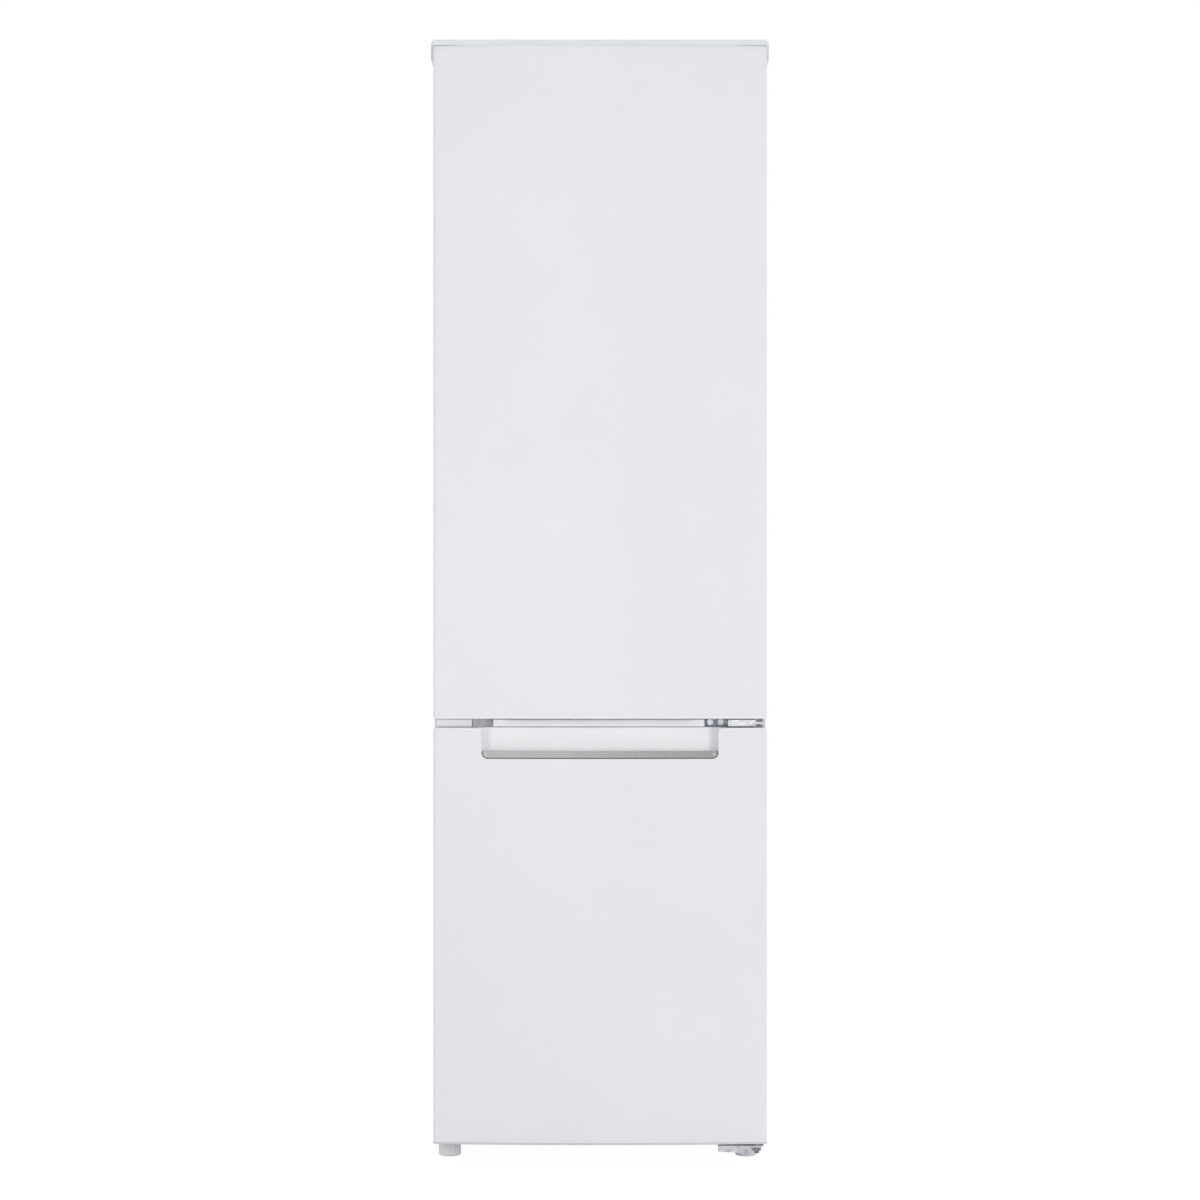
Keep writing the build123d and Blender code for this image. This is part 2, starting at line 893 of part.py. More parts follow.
# Hinge pins with their collars: top, centre, and bottom with its nut
with BuildPart() as hinge_pins:
    post(pivot_x, pivot_y, pin_radius, fridge_top - pin_reach, z_top + hinge_plate)
    post(pivot_x, pivot_y, pin_collar, fridge_top + slide_gap, z_top)
    post(pivot_x, pivot_y, pin_radius, freezer_top - pin_reach, fridge_bottom + pin_reach)
    post(pivot_x, pivot_y, pin_collar, freezer_top + slide_gap, arm_low)
    post(pivot_x, pivot_y, pin_collar, arm_high, fridge_bottom - slide_gap)
    post(pivot_x, pivot_y, pin_radius, bottom_arm_low - pin_tail, freezer_bottom + pin_reach)
    post(pivot_x, pivot_y, pin_collar, bottom_arm_top, freezer_bottom - slide_gap)
    with BuildSketch(Plane.XY.offset(bottom_arm_low)):
        with Locations((pivot_x, pivot_y)):
            RegularPolygon(nut_radius, 6)
    extrude(amount=-nut_height)
save(hinge_pins, "hinge_pins")

# Hinge screws: slotted pan heads on each bracket
screw_seats = [Plane(origin=place, z_dir=(0, 0, 1)) for place in top_screws]
screw_seats += [
    Plane(origin=(x, y_flange - hinge_plate, gap_mid), z_dir=(0, -1, 0)) for x in centre_screw_xs
]
screw_seats += [Plane(origin=place, z_dir=(0, 0, -1)) for place in bottom_screws]
with BuildPart() as hinge_screws:
    with Locations(*screw_seats):
        Cylinder(screw_head_radius, screw_head, align=(Align.CENTER, Align.CENTER, Align.MIN))
        Cylinder(screw_radius, screw_grip, align=(Align.CENTER, Align.CENTER, Align.MAX))
        with Locations((0, 0, screw_head)):
            Box(
                2 * screw_head_radius,
                screw_slot,
                screw_slot_depth,
                align=(Align.CENTER, Align.CENTER, Align.MAX),
                mode=Mode.SUBTRACT,
            )
save(hinge_screws, "hinge_screws")

# Blanking cap and hole plugs where the centre hinge would go on the other side
with BuildPart() as centre_blanks:
    with BuildSketch(facing(y_flange)):
        with Locations((-pivot_x - arm_tip, gap_mid)):
            Rectangle(blank_length, 2 * blank_half, align=(Align.MIN, Align.CENTER))
    extrude(amount=blank_depth)
    fillet(centre_blanks.faces().sort_by(Axis.Y)[0].edges(), radius=blank_edge)
    with BuildSketch(facing(y_flange)):
        with Locations(*[(-x, gap_mid) for x in centre_screw_xs]):
            Circle(screw_head_radius)
    extrude(amount=plug_head)
    with BuildSketch(facing(y_flange)):
        with Locations(*[(-x, gap_mid) for x in centre_screw_xs]):
            Circle(screw_radius)
    extrude(amount=-plug_head)
save(centre_blanks, "centre_blanks")

# Levelling feet: a threaded stem in the base's bush and a fluted pad on its end
pad_bore = pad_height - pad_socket
for foot_x, name in ((foot_left_x, "left"), (foot_right_x, "right")):
    with BuildPart() as stem:
        post(foot_x, foot_y, stem_radius, pad_bore + slide_gap, stem_top)
        chamfer(stem.faces().sort_by(Axis.Z)[-1].edges(), length=stem_chamfer)
    save(stem, f"foot_stem_{name}")

    with BuildPart() as pad:
        post(foot_x, foot_y, pad_radius, 0, pad_height)
        fillet(pad.faces().sort_by(Axis.Z)[0].edges(), radius=pad_round)
        post(foot_x, foot_y, collar_radius, pad_height, pad_height + collar_height)
        with BuildSketch(Plane.XY.offset(pad_round)):
            with Locations((foot_x, foot_y)):
                with PolarLocations(pad_radius + flute_radius / 2, pad_flutes):
                    Circle(flute_radius)
        extrude(amount=pad_height - pad_round, mode=Mode.SUBTRACT)
        post(foot_x, foot_y, stem_radius + fit, pad_bore, pad_height + collar_height, Mode.SUBTRACT)
    save(pad, f"foot_pad_{name}")

# Rear rollers and their axles
axle_half = ear_offset + ear_thickness / 2 + axle_end
for side, name in ((-1, "left"), (1, "right")):
    with BuildPart() as roller:
        with BuildSketch(Plane.YZ.offset(side * roller_x)):
            with Locations((roller_y, roller_level)):
                Circle(roller_radius)
                Circle(axle_radius + fit, mode=Mode.SUBTRACT)
        extrude(amount=roller_width / 2, both=True)
        fillet(roller.edges().filter_by(GeomType.CIRCLE).sort_by(SortBy.RADIUS)[-2:], radius=roller_edge)
    save(roller, f"rear_roller_{name}")

with BuildPart() as roller_axles:
    for side in (-1, 1):
        with BuildSketch(Plane.YZ.offset(side * roller_x)):
            with Locations((roller_y, roller_level)):
                Circle(axle_radius)
        extrude(amount=axle_half, both=True)
save(roller_axles, "roller_axles")

# Compressor: a domed oval shell with its weld seam, foot plate and pipe stubs
with BuildPart() as shell:
    with BuildSketch(Plane.XY.offset(shell_bottom)):
        with Locations((compressor_x, compressor_y)):
            Ellipse(compressor_half_length, compressor_half_width)
    extrude(amount=compressor_height)
    fillet(shell.faces().sort_by(Axis.Z)[-1].edges(), radius=compressor_top_radius)
    fillet(shell.faces().sort_by(Axis.Z)[0].edges(), radius=compressor_bottom_radius)
    with BuildSketch(Plane.XY.offset(shell_bottom + seam_height)):
        with Locations((compressor_x, compressor_y)):
            Ellipse(compressor_half_length + seam_step, compressor_half_width + seam_step)
    extrude(amount=seam_step)

with BuildPart() as compressor:
    add(shell.part)
    block(
        (compressor_x - mount_x - mount_margin, compressor_x + mount_x + mount_margin),
        (compressor_y - mount_y - mount_margin, compressor_y + mount_y + mount_margin),
        (compressor_bottom, compressor_bottom + foot_plate),
    )
    with Locations(
        *[(compressor_x - compressor_half_length / 2, compressor_y + y, stub_level)
          for y in (-stub_offset, stub_offset)]
    ):
        Cylinder(
            pipe_radius,
            compressor_half_length / 2 + stub_length,
            rotation=(0, -90, 0),
            align=(Align.CENTER, Align.CENTER, Align.MIN),
        )
    for x in (compressor_x - mount_x, compressor_x + mount_x):
        for y in (compressor_y - mount_y, compressor_y + mount_y):
            post(x, y, stud_radius + through_gap, compressor_bottom, shell_bottom, Mode.SUBTRACT)
save(compressor, "compressor")

# Rubber mounts under the compressor's foot plate
with BuildPart() as compressor_mounts:
    for x in (compressor_x - mount_x, compressor_x + mount_x):
        for y in (compressor_y - mount_y, compressor_y + mount_y):
            post(x, y, mount_radius, z_base, compressor_bottom)
            post(x, y, stud_radius + fit, z_base, compressor_bottom, Mode.SUBTRACT)
save(compressor_mounts, "compressor_mounts")

# Terminal cover on the compressor's end, with the mains inlet
terminal_low = shell_bottom + terminal_bottom
terminal_end = compressor_x + compressor_half_length + terminal_length
with BuildPart() as terminal_cover:
    block(
        (terminal_end - terminal_length - terminal_overlap, terminal_end),
        (compressor_y - terminal_half, compressor_y + terminal_half),
        (terminal_low, terminal_low + terminal_height),
    )
    fillet(terminal_cover.faces().sort_by(Axis.X)[-1].edges(), radius=terminal_edge)
    with Locations((terminal_end, compressor_y, terminal_low + terminal_height / 3)):
        Cylinder(inlet_radius, inlet_length, rotation=(0, 90, 0),
                 align=(Align.CENTER, Align.CENTER, Align.MIN))
        Cylinder(inlet_bore, 2 * inlet_length, rotation=(0, 90, 0), mode=Mode.SUBTRACT)
    add(shell.part, mode=Mode.SUBTRACT)
save(terminal_cover, "terminal_cover")

# Evaporation tray on top of the compressor
with BuildPart() as evaporation_tray:
    with BuildSketch(Plane.XY.offset(shell_top)):
        with Locations((compressor_x, compressor_y)):
            RectangleRounded(2 * pan_half_x, 2 * pan_half_y, drawer_radius)
    extrude(amount=pan_height)
    with BuildSketch(Plane.XY.offset(shell_top + tray_wall)):
        with Locations((compressor_x, compressor_y)):
            RectangleRounded(
                2 * (pan_half_x - tray_wall),
                2 * (pan_half_y - tray_wall),
                drawer_radius - tray_wall,
            )
    extrude(amount=pan_height, mode=Mode.SUBTRACT)
save(evaporation_tray, "evaporation_tray")

# Filter drier: a copper pencil with drawn-down necks
drier_low = z_floor + drier_bottom
with BuildPart() as filter_drier:
    with BuildSketch(Plane.XZ.offset(-drier_y)):
        with BuildLine():
            Polyline(
                (-drier_x, drier_low),
                (coil_tube - drier_x, drier_low),
                (drier_radius - drier_x, drier_low + drier_neck),
                (drier_radius - drier_x, drier_top - drier_neck),
                (coil_tube - drier_x, drier_top),
                (-drier_x, drier_top),
                close=True,
            )
        make_face()
    revolve(axis=Axis((-drier_x, drier_y, 0), (0, 0, 1)))
save(filter_drier, "filter_drier")

# Refrigerant lines: the suction pipe and the thin capillary, both up into the bay's ceiling
suction_y = compressor_y - stub_offset
suction = tube(
    [
        (stub_end, suction_y, stub_level),
        (stub_end - suction_run, suction_y, stub_level),
        (stub_end - suction_run, suction_y, z_bay),
    ],
    pipe_bend,
    pipe_radius,
)
capillary = tube(
    [
        (-drier_x, drier_y, drier_low),
        (-drier_x, drier_y, drier_low - capillary_drop),
        (-drier_x, drier_y - capillary_run, drier_low - capillary_drop),
        (-drier_x, drier_y - capillary_run, z_bay),
    ],
    capillary_bend,
    capillary_radius,
)
with BuildPart() as refrigerant_lines:
    add(suction)
    add(capillary)
save(refrigerant_lines, "refrigerant_lines")

# Condenser tube: from the compressor up a riser, down through the bends, and into the drier
coil_points = [
    (stub_end, compressor_y + stub_offset, stub_level),
    (stub_end - suction_run / 2, compressor_y + stub_offset, stub_level),
    (stub_end - suction_run / 2, coil_y, stub_level),
    (stub_end - suction_run / 2, coil_y, z_bay + riser_cross),
    (riser_x, coil_y, z_bay + riser_cross),
    (riser_x, coil_y, coil_top),
]
for row in range(coil_rows):
    level = coil_top - coil_pitch * row
    end = coil_half if row % 2 else -coil_half
    coil_points.append((end, coil_y, level))
    if row < coil_rows - 1:
        coil_points.append((end, coil_y, level - coil_pitch))
coil_points[-1] = (-drier_x, coil_y, coil_bottom)
coil_points += [
    (-drier_x, coil_y, drier_top + riser_cross),
    (-drier_x, drier_y, drier_top + riser_cross),
    (-drier_x, drier_y, drier_top),
]
coil_bends = [riser_bend] * 4 + [coil_bend] * (len(coil_points) - 8) + [riser_bend] * 2
condenser_pipe = tube(coil_points, coil_bends, coil_tube)
with BuildPart() as condenser_tube:
    add(condenser_pipe)
save(condenser_tube, "condenser_tube")

# Condenser wires: a flat grid of upright wires on each side of the tube, on four brackets
wire_low = coil_bottom - wire_overlap
wire_high = coil_top + wire_overlap
wire_pitch = (2 * wire_half - wire_width) / wire_gap_count
wire_front = coil_y - coil_tube - fit - wire_width
with BuildPart() as condenser_wires:
    for y in (wire_front, coil_y + coil_tube + fit):
        with BuildSketch(facing(y)):
            with Locations((0, (wire_low + wire_high) / 2)):
                Rectangle(2 * wire_half, wire_high - wire_low)
                with GridLocations(wire_pitch, 1, wire_gap_count, 1):
                    Rectangle(
                        wire_pitch - wire_width,
                        wire_high - wire_low - 2 * wire_width,
                        mode=Mode.SUBTRACT,
                    )
        extrude(amount=-wire_width)
    for side in (-1, 1):
        for level in (wire_low + bracket_inset, wire_high - bracket_inset):
            block(
                (side * (bracket_x - bracket_width / 2), side * (bracket_x + bracket_width / 2)),
                (y_back, wire_front),
                (level - bracket_height / 2, level + bracket_height / 2),
            )
save(condenser_wires, "condenser_wires")

# Evaporators: tube shelves in the freezer and a plate in the foam behind the fridge liner
evaporator_half = freezer_half - evaporator_radius - evaporator_end_gap
evaporator_front = y_liner + evaporator_setback + 2 * evaporator_radius
evaporator_pitch = (freezer_back - evaporator_back_room - evaporator_front) / (evaporator_rows - 1)
evaporator_bend = (evaporator_pitch - evaporator_straight) / 2
evaporator_tubes = []
for level in evaporator_levels:
    height = level + evaporator_radius
    points = []
    for row in range(evaporator_rows):
        y = evaporator_front + evaporator_pitch * row
        ends = (evaporator_half, -evaporator_half)
        start, finish = ends if row % 2 else ends[::-1]
        points += [(start, y, height), (finish, y, height)]
    points[-1] = (evaporator_half - evaporator_exit, points[-1][1], height)
    points.append((points[-1][0], freezer_back - evaporator_back_gap, height))
    evaporator_tubes.append(tube(points, evaporator_bend, evaporator_radius))
with BuildPart() as evaporators:
    for coil in evaporator_tubes:
        add(coil)
    block(
        (-plate_half, plate_half),
        (fridge_back + liner, fridge_back + liner + plate_thickness),
        (plate_bottom, plate_bottom + plate_height),
    )
save(evaporators, "evaporators")

# Glass shelves and the crisper's glass cover
glass_names = ["crisper_cover", "shelf_glass_lower", "shelf_glass_middle", "shelf_glass_upper"]
for level, name in zip([crisper_level, *shelf_levels], glass_names):
    with BuildPart() as pane:
        block((-shelf_half, shelf_half), (shelf_front, shelf_back), (level, level + glass))
    save(pane, name)

# Shelf trims: a rounded nosing in front of each pane and an upstand behind it
with BuildPart() as shelf_trims:
    for level in [crisper_level, *shelf_levels]:
        middle = level + glass / 2
        with BuildSketch(Plane.YZ):
            with Locations((shelf_front, middle)):
                RectangleRounded(
                    trim_depth,
                    trim_height,
                    trim_radius,
                    align=(Align.MAX, Align.CENTER),
                )
            with Locations((shelf_back, level)):
                RectangleRounded(
                    trim_depth,
                    trim_back_height,
                    trim_radius,
                    align=(Align.MIN, Align.MIN),
                )
        extrude(amount=shelf_half, both=True)
save(shelf_trims, "shelf_trims")


# An open tray with rounded corners, a thick front wall and a finger pull
def drawer(half, front, back, low, high, name):
    with BuildPart() as hollow:
        with BuildSketch(Plane.XY.offset(low + tray_wall)):
            with Locations((0, (front + drawer_front + back - tray_wall) / 2)):
                RectangleRounded(
                    2 * (half - tray_wall),
                    back - tray_wall - front - drawer_front,
                    drawer_radius - tray_wall,
                )
        extrude(amount=high - low)
        fillet(hollow.faces().sort_by(Axis.Z)[0].edges(), radius=drawer_bottom_radius - tray_wall)
    with BuildPart() as tray:
        with BuildSketch(Plane.XY.offset(low)):
            with Locations((0, (front + back) / 2)):
                RectangleRounded(2 * half, back - front, drawer_radius)
        extrude(amount=high - low)
        fillet(tray.faces().sort_by(Axis.Z)[0].edges(), radius=drawer_bottom_radius)
        add(hollow.part, mode=Mode.SUBTRACT)
        with BuildSketch(facing(front)):
            with Locations((0, high - pull_below - pull_height / 2)):
                RectangleRounded(2 * pull_half, pull_height, pull_height / 3)
        extrude(amount=-pull_depth, mode=Mode.SUBTRACT)
    save(tray, name)


# Crisper on the fridge's floor, and three freezer drawers
crisper_front = y_balcony + drawer_gap
drawer(
    fridge_half - crisper_side_gap,
    crisper_front,
    fridge_back - crisper_back_gap,
    fridge_floor + slide_gap,
    crisper_level - crisper_head,
    "crisper_drawer",
)
freezer_front = y_freezer_panel + drawer_gap
tube_height = 2 * evaporator_radius + slide_gap
drawer_lows = [freezer_floor + slide_gap, *[level + tube_height for level in evaporator_levels[:2]]]
drawer_backs = [y_step - freezer_back_gap, freezer_back - freezer_back_gap, freezer_back - freezer_back_gap]
drawer_names = ["freezer_drawer_lower", "freezer_drawer_middle", "freezer_drawer_upper"]
for low, level, back, name in zip(drawer_lows, evaporator_levels, drawer_backs, drawer_names):
    high = level - ledge_height - drawer_head
    drawer(freezer_half - freezer_side_gap, freezer_front, back, low, high, name)

# Lamp and thermostat housing under the fridge's ceiling
housing_front = y_panel + housing_setback
knob_y = housing_front + knob_setback
plunger_level = housing_bottom + housing_height / 2
with BuildPart() as lamp_housing:
    with BuildSketch(Plane.XY.offset(housing_bottom)):
        with Locations((0, housing_front + housing_length / 2)):
            RectangleRounded(2 * housing_half, housing_length, housing_radius)
    extrude(amount=housing_height)
    fillet(lamp_housing.faces().sort_by(Axis.Z)[0].edges(), radius=housing_radius / 2)
    knob_bore_top = housing_bottom + knob_shaft_length + bore_end
    post(knob_x, knob_y, knob_shaft + fit, housing_bottom, knob_bore_top, Mode.SUBTRACT)
    with BuildSketch(facing(housing_front)):
        with Locations((plunger_x, plunger_level)):
            Circle(plunger_radius + plunger_fit)
    extrude(amount=-plunger_guide - bore_end, mode=Mode.SUBTRACT)
save(lamp_housing, "lamp_housing")

with BuildPart() as lamp_cover:
    with BuildSketch(Plane.XY.offset(housing_bottom)):
        with Locations((0, housing_front + lamp_front + lamp_length / 2)):
            RectangleRounded(2 * lamp_half, lamp_length, housing_radius)
    extrude(amount=-lamp_thickness)
    fillet(lamp_cover.faces().sort_by(Axis.Z)[0].edges(), radius=lamp_edge)
save(lamp_cover, "lamp_cover")

# Thermostat knob: a dial with a raised grip bar, turning on its shaft
with BuildPart() as thermostat_knob:
    knob_low = housing_bottom - slide_gap - knob_height
    post(knob_x, knob_y, knob_radius, knob_low + knob_height / 2, housing_bottom - slide_gap)
    fillet(thermostat_knob.faces().sort_by(Axis.Z)[0].edges(), radius=knob_edge)
    with BuildSketch(Plane.XY.offset(knob_low + knob_height / 2)):
        with Locations((knob_x, knob_y)):
            SlotOverall(2 * (knob_radius - 2 * knob_edge), 2 * knob_grip, rotation=90)
    extrude(amount=-knob_height / 2)
    post(knob_x, knob_y, knob_shaft, housing_bottom - slide_gap, housing_bottom + knob_shaft_length)
save(thermostat_knob, "thermostat_knob")

# Light switch plunger, held in by the closed door
with BuildPart() as light_switch:
    with BuildSketch(facing(y_panel + slide_gap)):
        with Locations((plunger_x, plunger_level)):
            Circle(plunger_radius)
    extrude(amount=y_panel + slide_gap - housing_front - plunger_guide)
    fillet(light_switch.faces().sort_by(Axis.Y)[0].edges(), radius=plunger_radius / 3)
save(light_switch, "light_switch")

# Plan of the fridge door liner's bulge with its two dykes, shrunk to the liner's inside
def dyked_plan(shrink):
    outer = dyke_half - shrink
    inner = dyke_half - dyke_width + shrink
    with BuildSketch() as plan:
        with BuildLine():
            Polyline(
                (-outer, y_core_back),
                (-outer, y_dyke - shrink),
                (-inner, y_dyke - shrink),
                (-inner, y_panel - shrink),
                (inner, y_panel - shrink),
                (inner, y_dyke - shrink),
                (outer, y_dyke - shrink),
                (outer, y_core_back),
                close=True,
            )
        make_face()
        fillet(plan.vertices().group_by(Axis.Y)[-1], radius=panel_radius - shrink)
    return plan.sketch


# The fridge door liner's bulge as a solid, shrunk to the liner's inside
def fridge_bulge(shrink):
    with BuildPart() as bulge:
        with BuildSketch(Plane.XY.offset(bulge_bottom + shrink)):
            add(dyked_plan(shrink))
        extrude(amount=bulge_top - bulge_bottom - 2 * shrink)
    return bulge.part


# The freezer door liner's flat bulge as a solid, shrunk to the liner's inside
def freezer_bulge(shrink):
    bottom = freezer_floor + panel_margin + shrink
    top = freezer_ceiling - panel_margin - shrink
    with BuildPart() as bulge:
        with BuildSketch(facing(y_core_back)):
            with Locations((0, (bottom + top) / 2)):
                RectangleRounded(
                    2 * (freezer_half - freezer_panel_margin - shrink),
                    top - bottom,
                    panel_radius - shrink,
                )
        extrude(amount=y_core_back - y_freezer_panel + shrink)
    return bulge.part


# A magnetic gasket round a door's inner edge: a wide foot and a narrower bulb
def gasket(bottom, top, name):
    with BuildPart() as seal:
        for width, near, far in (
            (seal_base, y_seal, y_seal + seal_foot),
            (seal_bulb, y_seal + seal_foot, y_flange - slide_gap),
        ):
            with BuildSketch(facing(near)):
                with Locations((0, (bottom + top) / 2)):
                    RectangleRounded(
                        2 * (half_width - seal_inset),
                        top - bottom - 2 * seal_inset,
                        seal_radius,
                    )
                    Rectangle(
                        2 * (half_width - seal_inset - width),
                        top - bottom - 2 * (seal_inset + width),
                        mode=Mode.SUBTRACT,
                    )
            extrude(amount=near - far)
    save(seal, name)


# The sheet-steel front and sides of a door, hemmed at the back
def door_skin(bottom, top):
    with BuildPart() as skin:
        with BuildSketch(Plane.XY.offset(bottom + cap_rim + cap_seam)):
            add(door_plan(0, y_door_back))
            add(door_plan(sheet, y_seal), mode=Mode.SUBTRACT)
        extrude(amount=top - bottom - 2 * (cap_rim + cap_seam))
        block(
            (door_hem - half_width, half_width - door_hem),
            (y_seal, y_door_back),
            (bottom, top),
            Mode.SUBTRACT,
        )
    return skin.part


# An end cap's rim plate and its plug inside the skin; direction +1 is a top cap, -1 a bottom one
def end_cap(end, direction, plug):
    inner = end - direction * cap_rim
    with BuildPart() as cap:
        with BuildSketch(Plane.XY.offset(inner)):
            add(door_plan(0, y_door_back))
        extrude(amount=direction * cap_rim)
        rim_faces = cap.faces().sort_by(Axis.Z)
        outer_face = rim_faces[-1] if direction > 0 else rim_faces[0]
        chamfer(outer_face.edges(), length=cap_edge)
        with BuildSketch(Plane.XY.offset(inner)):
            add(door_plan(sheet, y_core_back))
        extrude(amount=-direction * plug)
    return cap.part


# A hinge boss and its bore in an end cap
def boss_levels(end, direction):
    deep = end - direction * (pin_reach + bore_end)
    return sorted((end, deep)), sorted((end, deep - direction * boss_wall))


skin_plan = door_plan(sheet, y_core_back)
foam_plan = door_plan(sheet + foam_gap, y_core_back)
top_bore, top_boss = boss_levels(fridge_top, 1)
centre_up_bore, centre_up_boss = boss_levels(fridge_bottom, -1)
centre_down_bore, centre_down_boss = boss_levels(freezer_top, 1)
bottom_bore, bottom_boss = boss_levels(freezer_bottom, -1)
fridge_top_cap = end_cap(fridge_top, 1, cap_plug)
fridge_bottom_cap = end_cap(fridge_bottom, -1, grip_plug)
freezer_top_cap = end_cap(freezer_top, 1, cap_plug)
freezer_bottom_cap = end_cap(freezer_bottom, -1, cap_plug)

# Fridge door skin
fridge_skin = door_skin(fridge_bottom, fridge_top)
with BuildPart() as fridge_door_skin:
    add(fridge_skin)
save(fridge_door_skin, "fridge_door_skin")

# Fridge door end caps: the top one with the hinge bore, the bottom one with a finger grip
with BuildPart() as fridge_door_top_cap:
    add(fridge_top_cap)
    post(pivot_x, pivot_y, boss_radius, top_boss[0], fridge_top - cap_rim)
    post(pivot_x, pivot_y, pin_radius + fit, *top_bore, Mode.SUBTRACT)
save(fridge_door_top_cap, "fridge_door_top_cap")

with BuildPart() as fridge_door_bottom_cap:
    add(fridge_bottom_cap)
    post(pivot_x, pivot_y, pin_radius + fit, *centre_up_bore, Mode.SUBTRACT)
    with BuildSketch(Plane.XY.offset(fridge_bottom)):
        with Locations((0, (y_edge + y_core_back) / 2 - grip_shift)):
            RectangleRounded(2 * grip_half, grip_width, grip_width / 3)
    extrude(amount=grip_depth, mode=Mode.SUBTRACT)
save(fridge_door_bottom_cap, "fridge_door_bottom_cap")

# Fridge door foam, filling the skin and the liner's bulge
fridge_bulge_core = fridge_bulge(liner)
with BuildPart() as fridge_door_foam:
    with BuildSketch(Plane.XY.offset(fridge_bottom + cap_rim + grip_plug)):
        add(foam_plan)
    extrude(amount=fridge_top - fridge_bottom - 2 * cap_rim - grip_plug - cap_plug)
    add(fridge_bulge_core)
    post(pivot_x, pivot_y, boss_radius, top_boss[0], fridge_top, Mode.SUBTRACT)
save(fridge_door_foam, "fridge_door_foam")

# Fridge door liner: rim behind the gasket, bulge with two dykes, and lugs under the balconies
fridge_bulge_outside = fridge_bulge(0)
lug_outer = dyke_half - dyke_width
with BuildPart() as fridge_door_liner:
    block(
        (sheet - half_width, half_width - sheet),
        (y_core_back, y_seal),
        (fridge_bottom + cap_rim, fridge_top - cap_rim),
    )
    add(fridge_bulge_outside)
    add(fridge_bulge_core, mode=Mode.SUBTRACT)
    for level in [bottle_level, *balcony_levels]:
        for side in (-1, 1):
            block(
                (side * (lug_outer - lug_width), side * (lug_outer + liner / 2)),
                (y_panel - liner / 2, y_panel + lug_length),
                (level - lug_height, level),
            )
save(fridge_door_liner, "fridge_door_liner")
gasket(fridge_bottom, fridge_top, "fridge_door_gasket")


# A door balcony: an open tray between the dykes, standing on the liner's lugs
def balcony(level, height, name):
    half = lug_outer - balcony_fit
    with BuildPart() as tray:
        with BuildSketch(Plane.XY.offset(level)) as plan:
            with Locations((0, y_panel + slide_gap)):
                Rectangle(2 * half, balcony_depth - slide_gap, align=(Align.CENTER, Align.MIN))
            fillet(plan.vertices().group_by(Axis.Y)[-1], radius=balcony_radius)
        extrude(amount=height)
        with BuildSketch(Plane.XY.offset(level + tray_wall)) as hollow:
            with Locations((0, y_panel + slide_gap + tray_wall)):
                Rectangle(
                    2 * (half - tray_wall),
                    balcony_depth - slide_gap - 2 * tray_wall,
                    align=(Align.CENTER, Align.MIN),
                )
            fillet(hollow.vertices().group_by(Axis.Y)[-1], radius=balcony_radius - tray_wall)
        extrude(amount=height, mode=Mode.SUBTRACT)
    save(tray, name)


balcony(bottle_level, bottle_height, "bottle_balcony")
balcony_names = ["door_balcony_lower", "door_balcony_middle", "door_balcony_upper"]
for level, name in zip(balcony_levels, balcony_names):
    balcony(level, balcony_height, name)

# Freezer door skin with the grip notch
freezer_skin = door_skin(freezer_bottom, freezer_top)
notch = notch_outline(0)
with BuildPart() as freezer_door_skin:
    add(freezer_skin)
    with BuildSketch(facing(y_front)):
        add(notch)
    extrude(amount=-door_crown - door_corner, mode=Mode.SUBTRACT)
save(freezer_door_skin, "freezer_door_skin")

# Freezer door top cap: a block behind the notch, scooped out, with a lip along its front
grip_block_half = notch_half + grip_block_margin
grip_block_low = notch_bottom - grip_block_below
y_scoop = y_front + scoop_start
y_scoop_back = y_front + scoop_depth
y_grip_block = y_scoop_back + scoop_wall
lip_top = notch_bottom + lip_height
with BuildPart() as scoop:
    for y, half, low in (
        (y_scoop, notch_half, notch_bottom),
        (y_scoop_back, notch_half - scoop_taper, notch_bottom + scoop_rise),
    ):
        with BuildSketch(facing(y)) as mouth:
            with Locations((0, low)):
                Rectangle(2 * half, freezer_top + cap_rim - low, align=(Align.CENTER, Align.MIN))
            fillet(mouth.vertices().group_by(Axis.Y)[0], radius=notch_inner_radius)
    loft()
    scoop_floor = scoop.faces().sort_by(Axis.Y)[-1].edges().sort_by(Axis.Z)[0]
    fillet(scoop_floor, radius=scoop_radius)

lip_inset = sheet + lip_setback
lip_half = notch_half - notch_inner_radius
with BuildPart() as grip_lip:
    with BuildSketch(Plane.XY.offset(grip_block_low)):
        add(door_plan(lip_inset, y_core_back))
        add(door_plan(lip_inset + lip_wall, y_core_back), mode=Mode.SUBTRACT)
    extrude(amount=lip_top - grip_block_low)
    block((-lip_half, lip_half), (y_front, y_scoop), (grip_block_low, lip_top), Mode.INTERSECT)

with BuildPart() as freezer_door_top_cap:
    with BuildSketch(Plane.XY.offset(grip_block_low)):
        add(skin_plan)
    extrude(amount=freezer_top - cap_rim - grip_block_low)
    block(
        (-grip_block_half, grip_block_half),
        (y_front, y_grip_block),
        (grip_block_low, freezer_top),
        Mode.INTERSECT,
    )
    add(freezer_top_cap)
    with BuildSketch(facing(y_front)):
        add(notch)
    extrude(amount=-scoop_start, mode=Mode.SUBTRACT)
    add(scoop.part, mode=Mode.SUBTRACT)
    add(grip_lip.part)
    post(pivot_x, pivot_y, boss_radius, centre_down_boss[0], freezer_top - cap_rim)
    post(pivot_x, pivot_y, pin_radius + fit, *centre_down_bore, Mode.SUBTRACT)
save(freezer_door_top_cap, "freezer_door_top_cap")

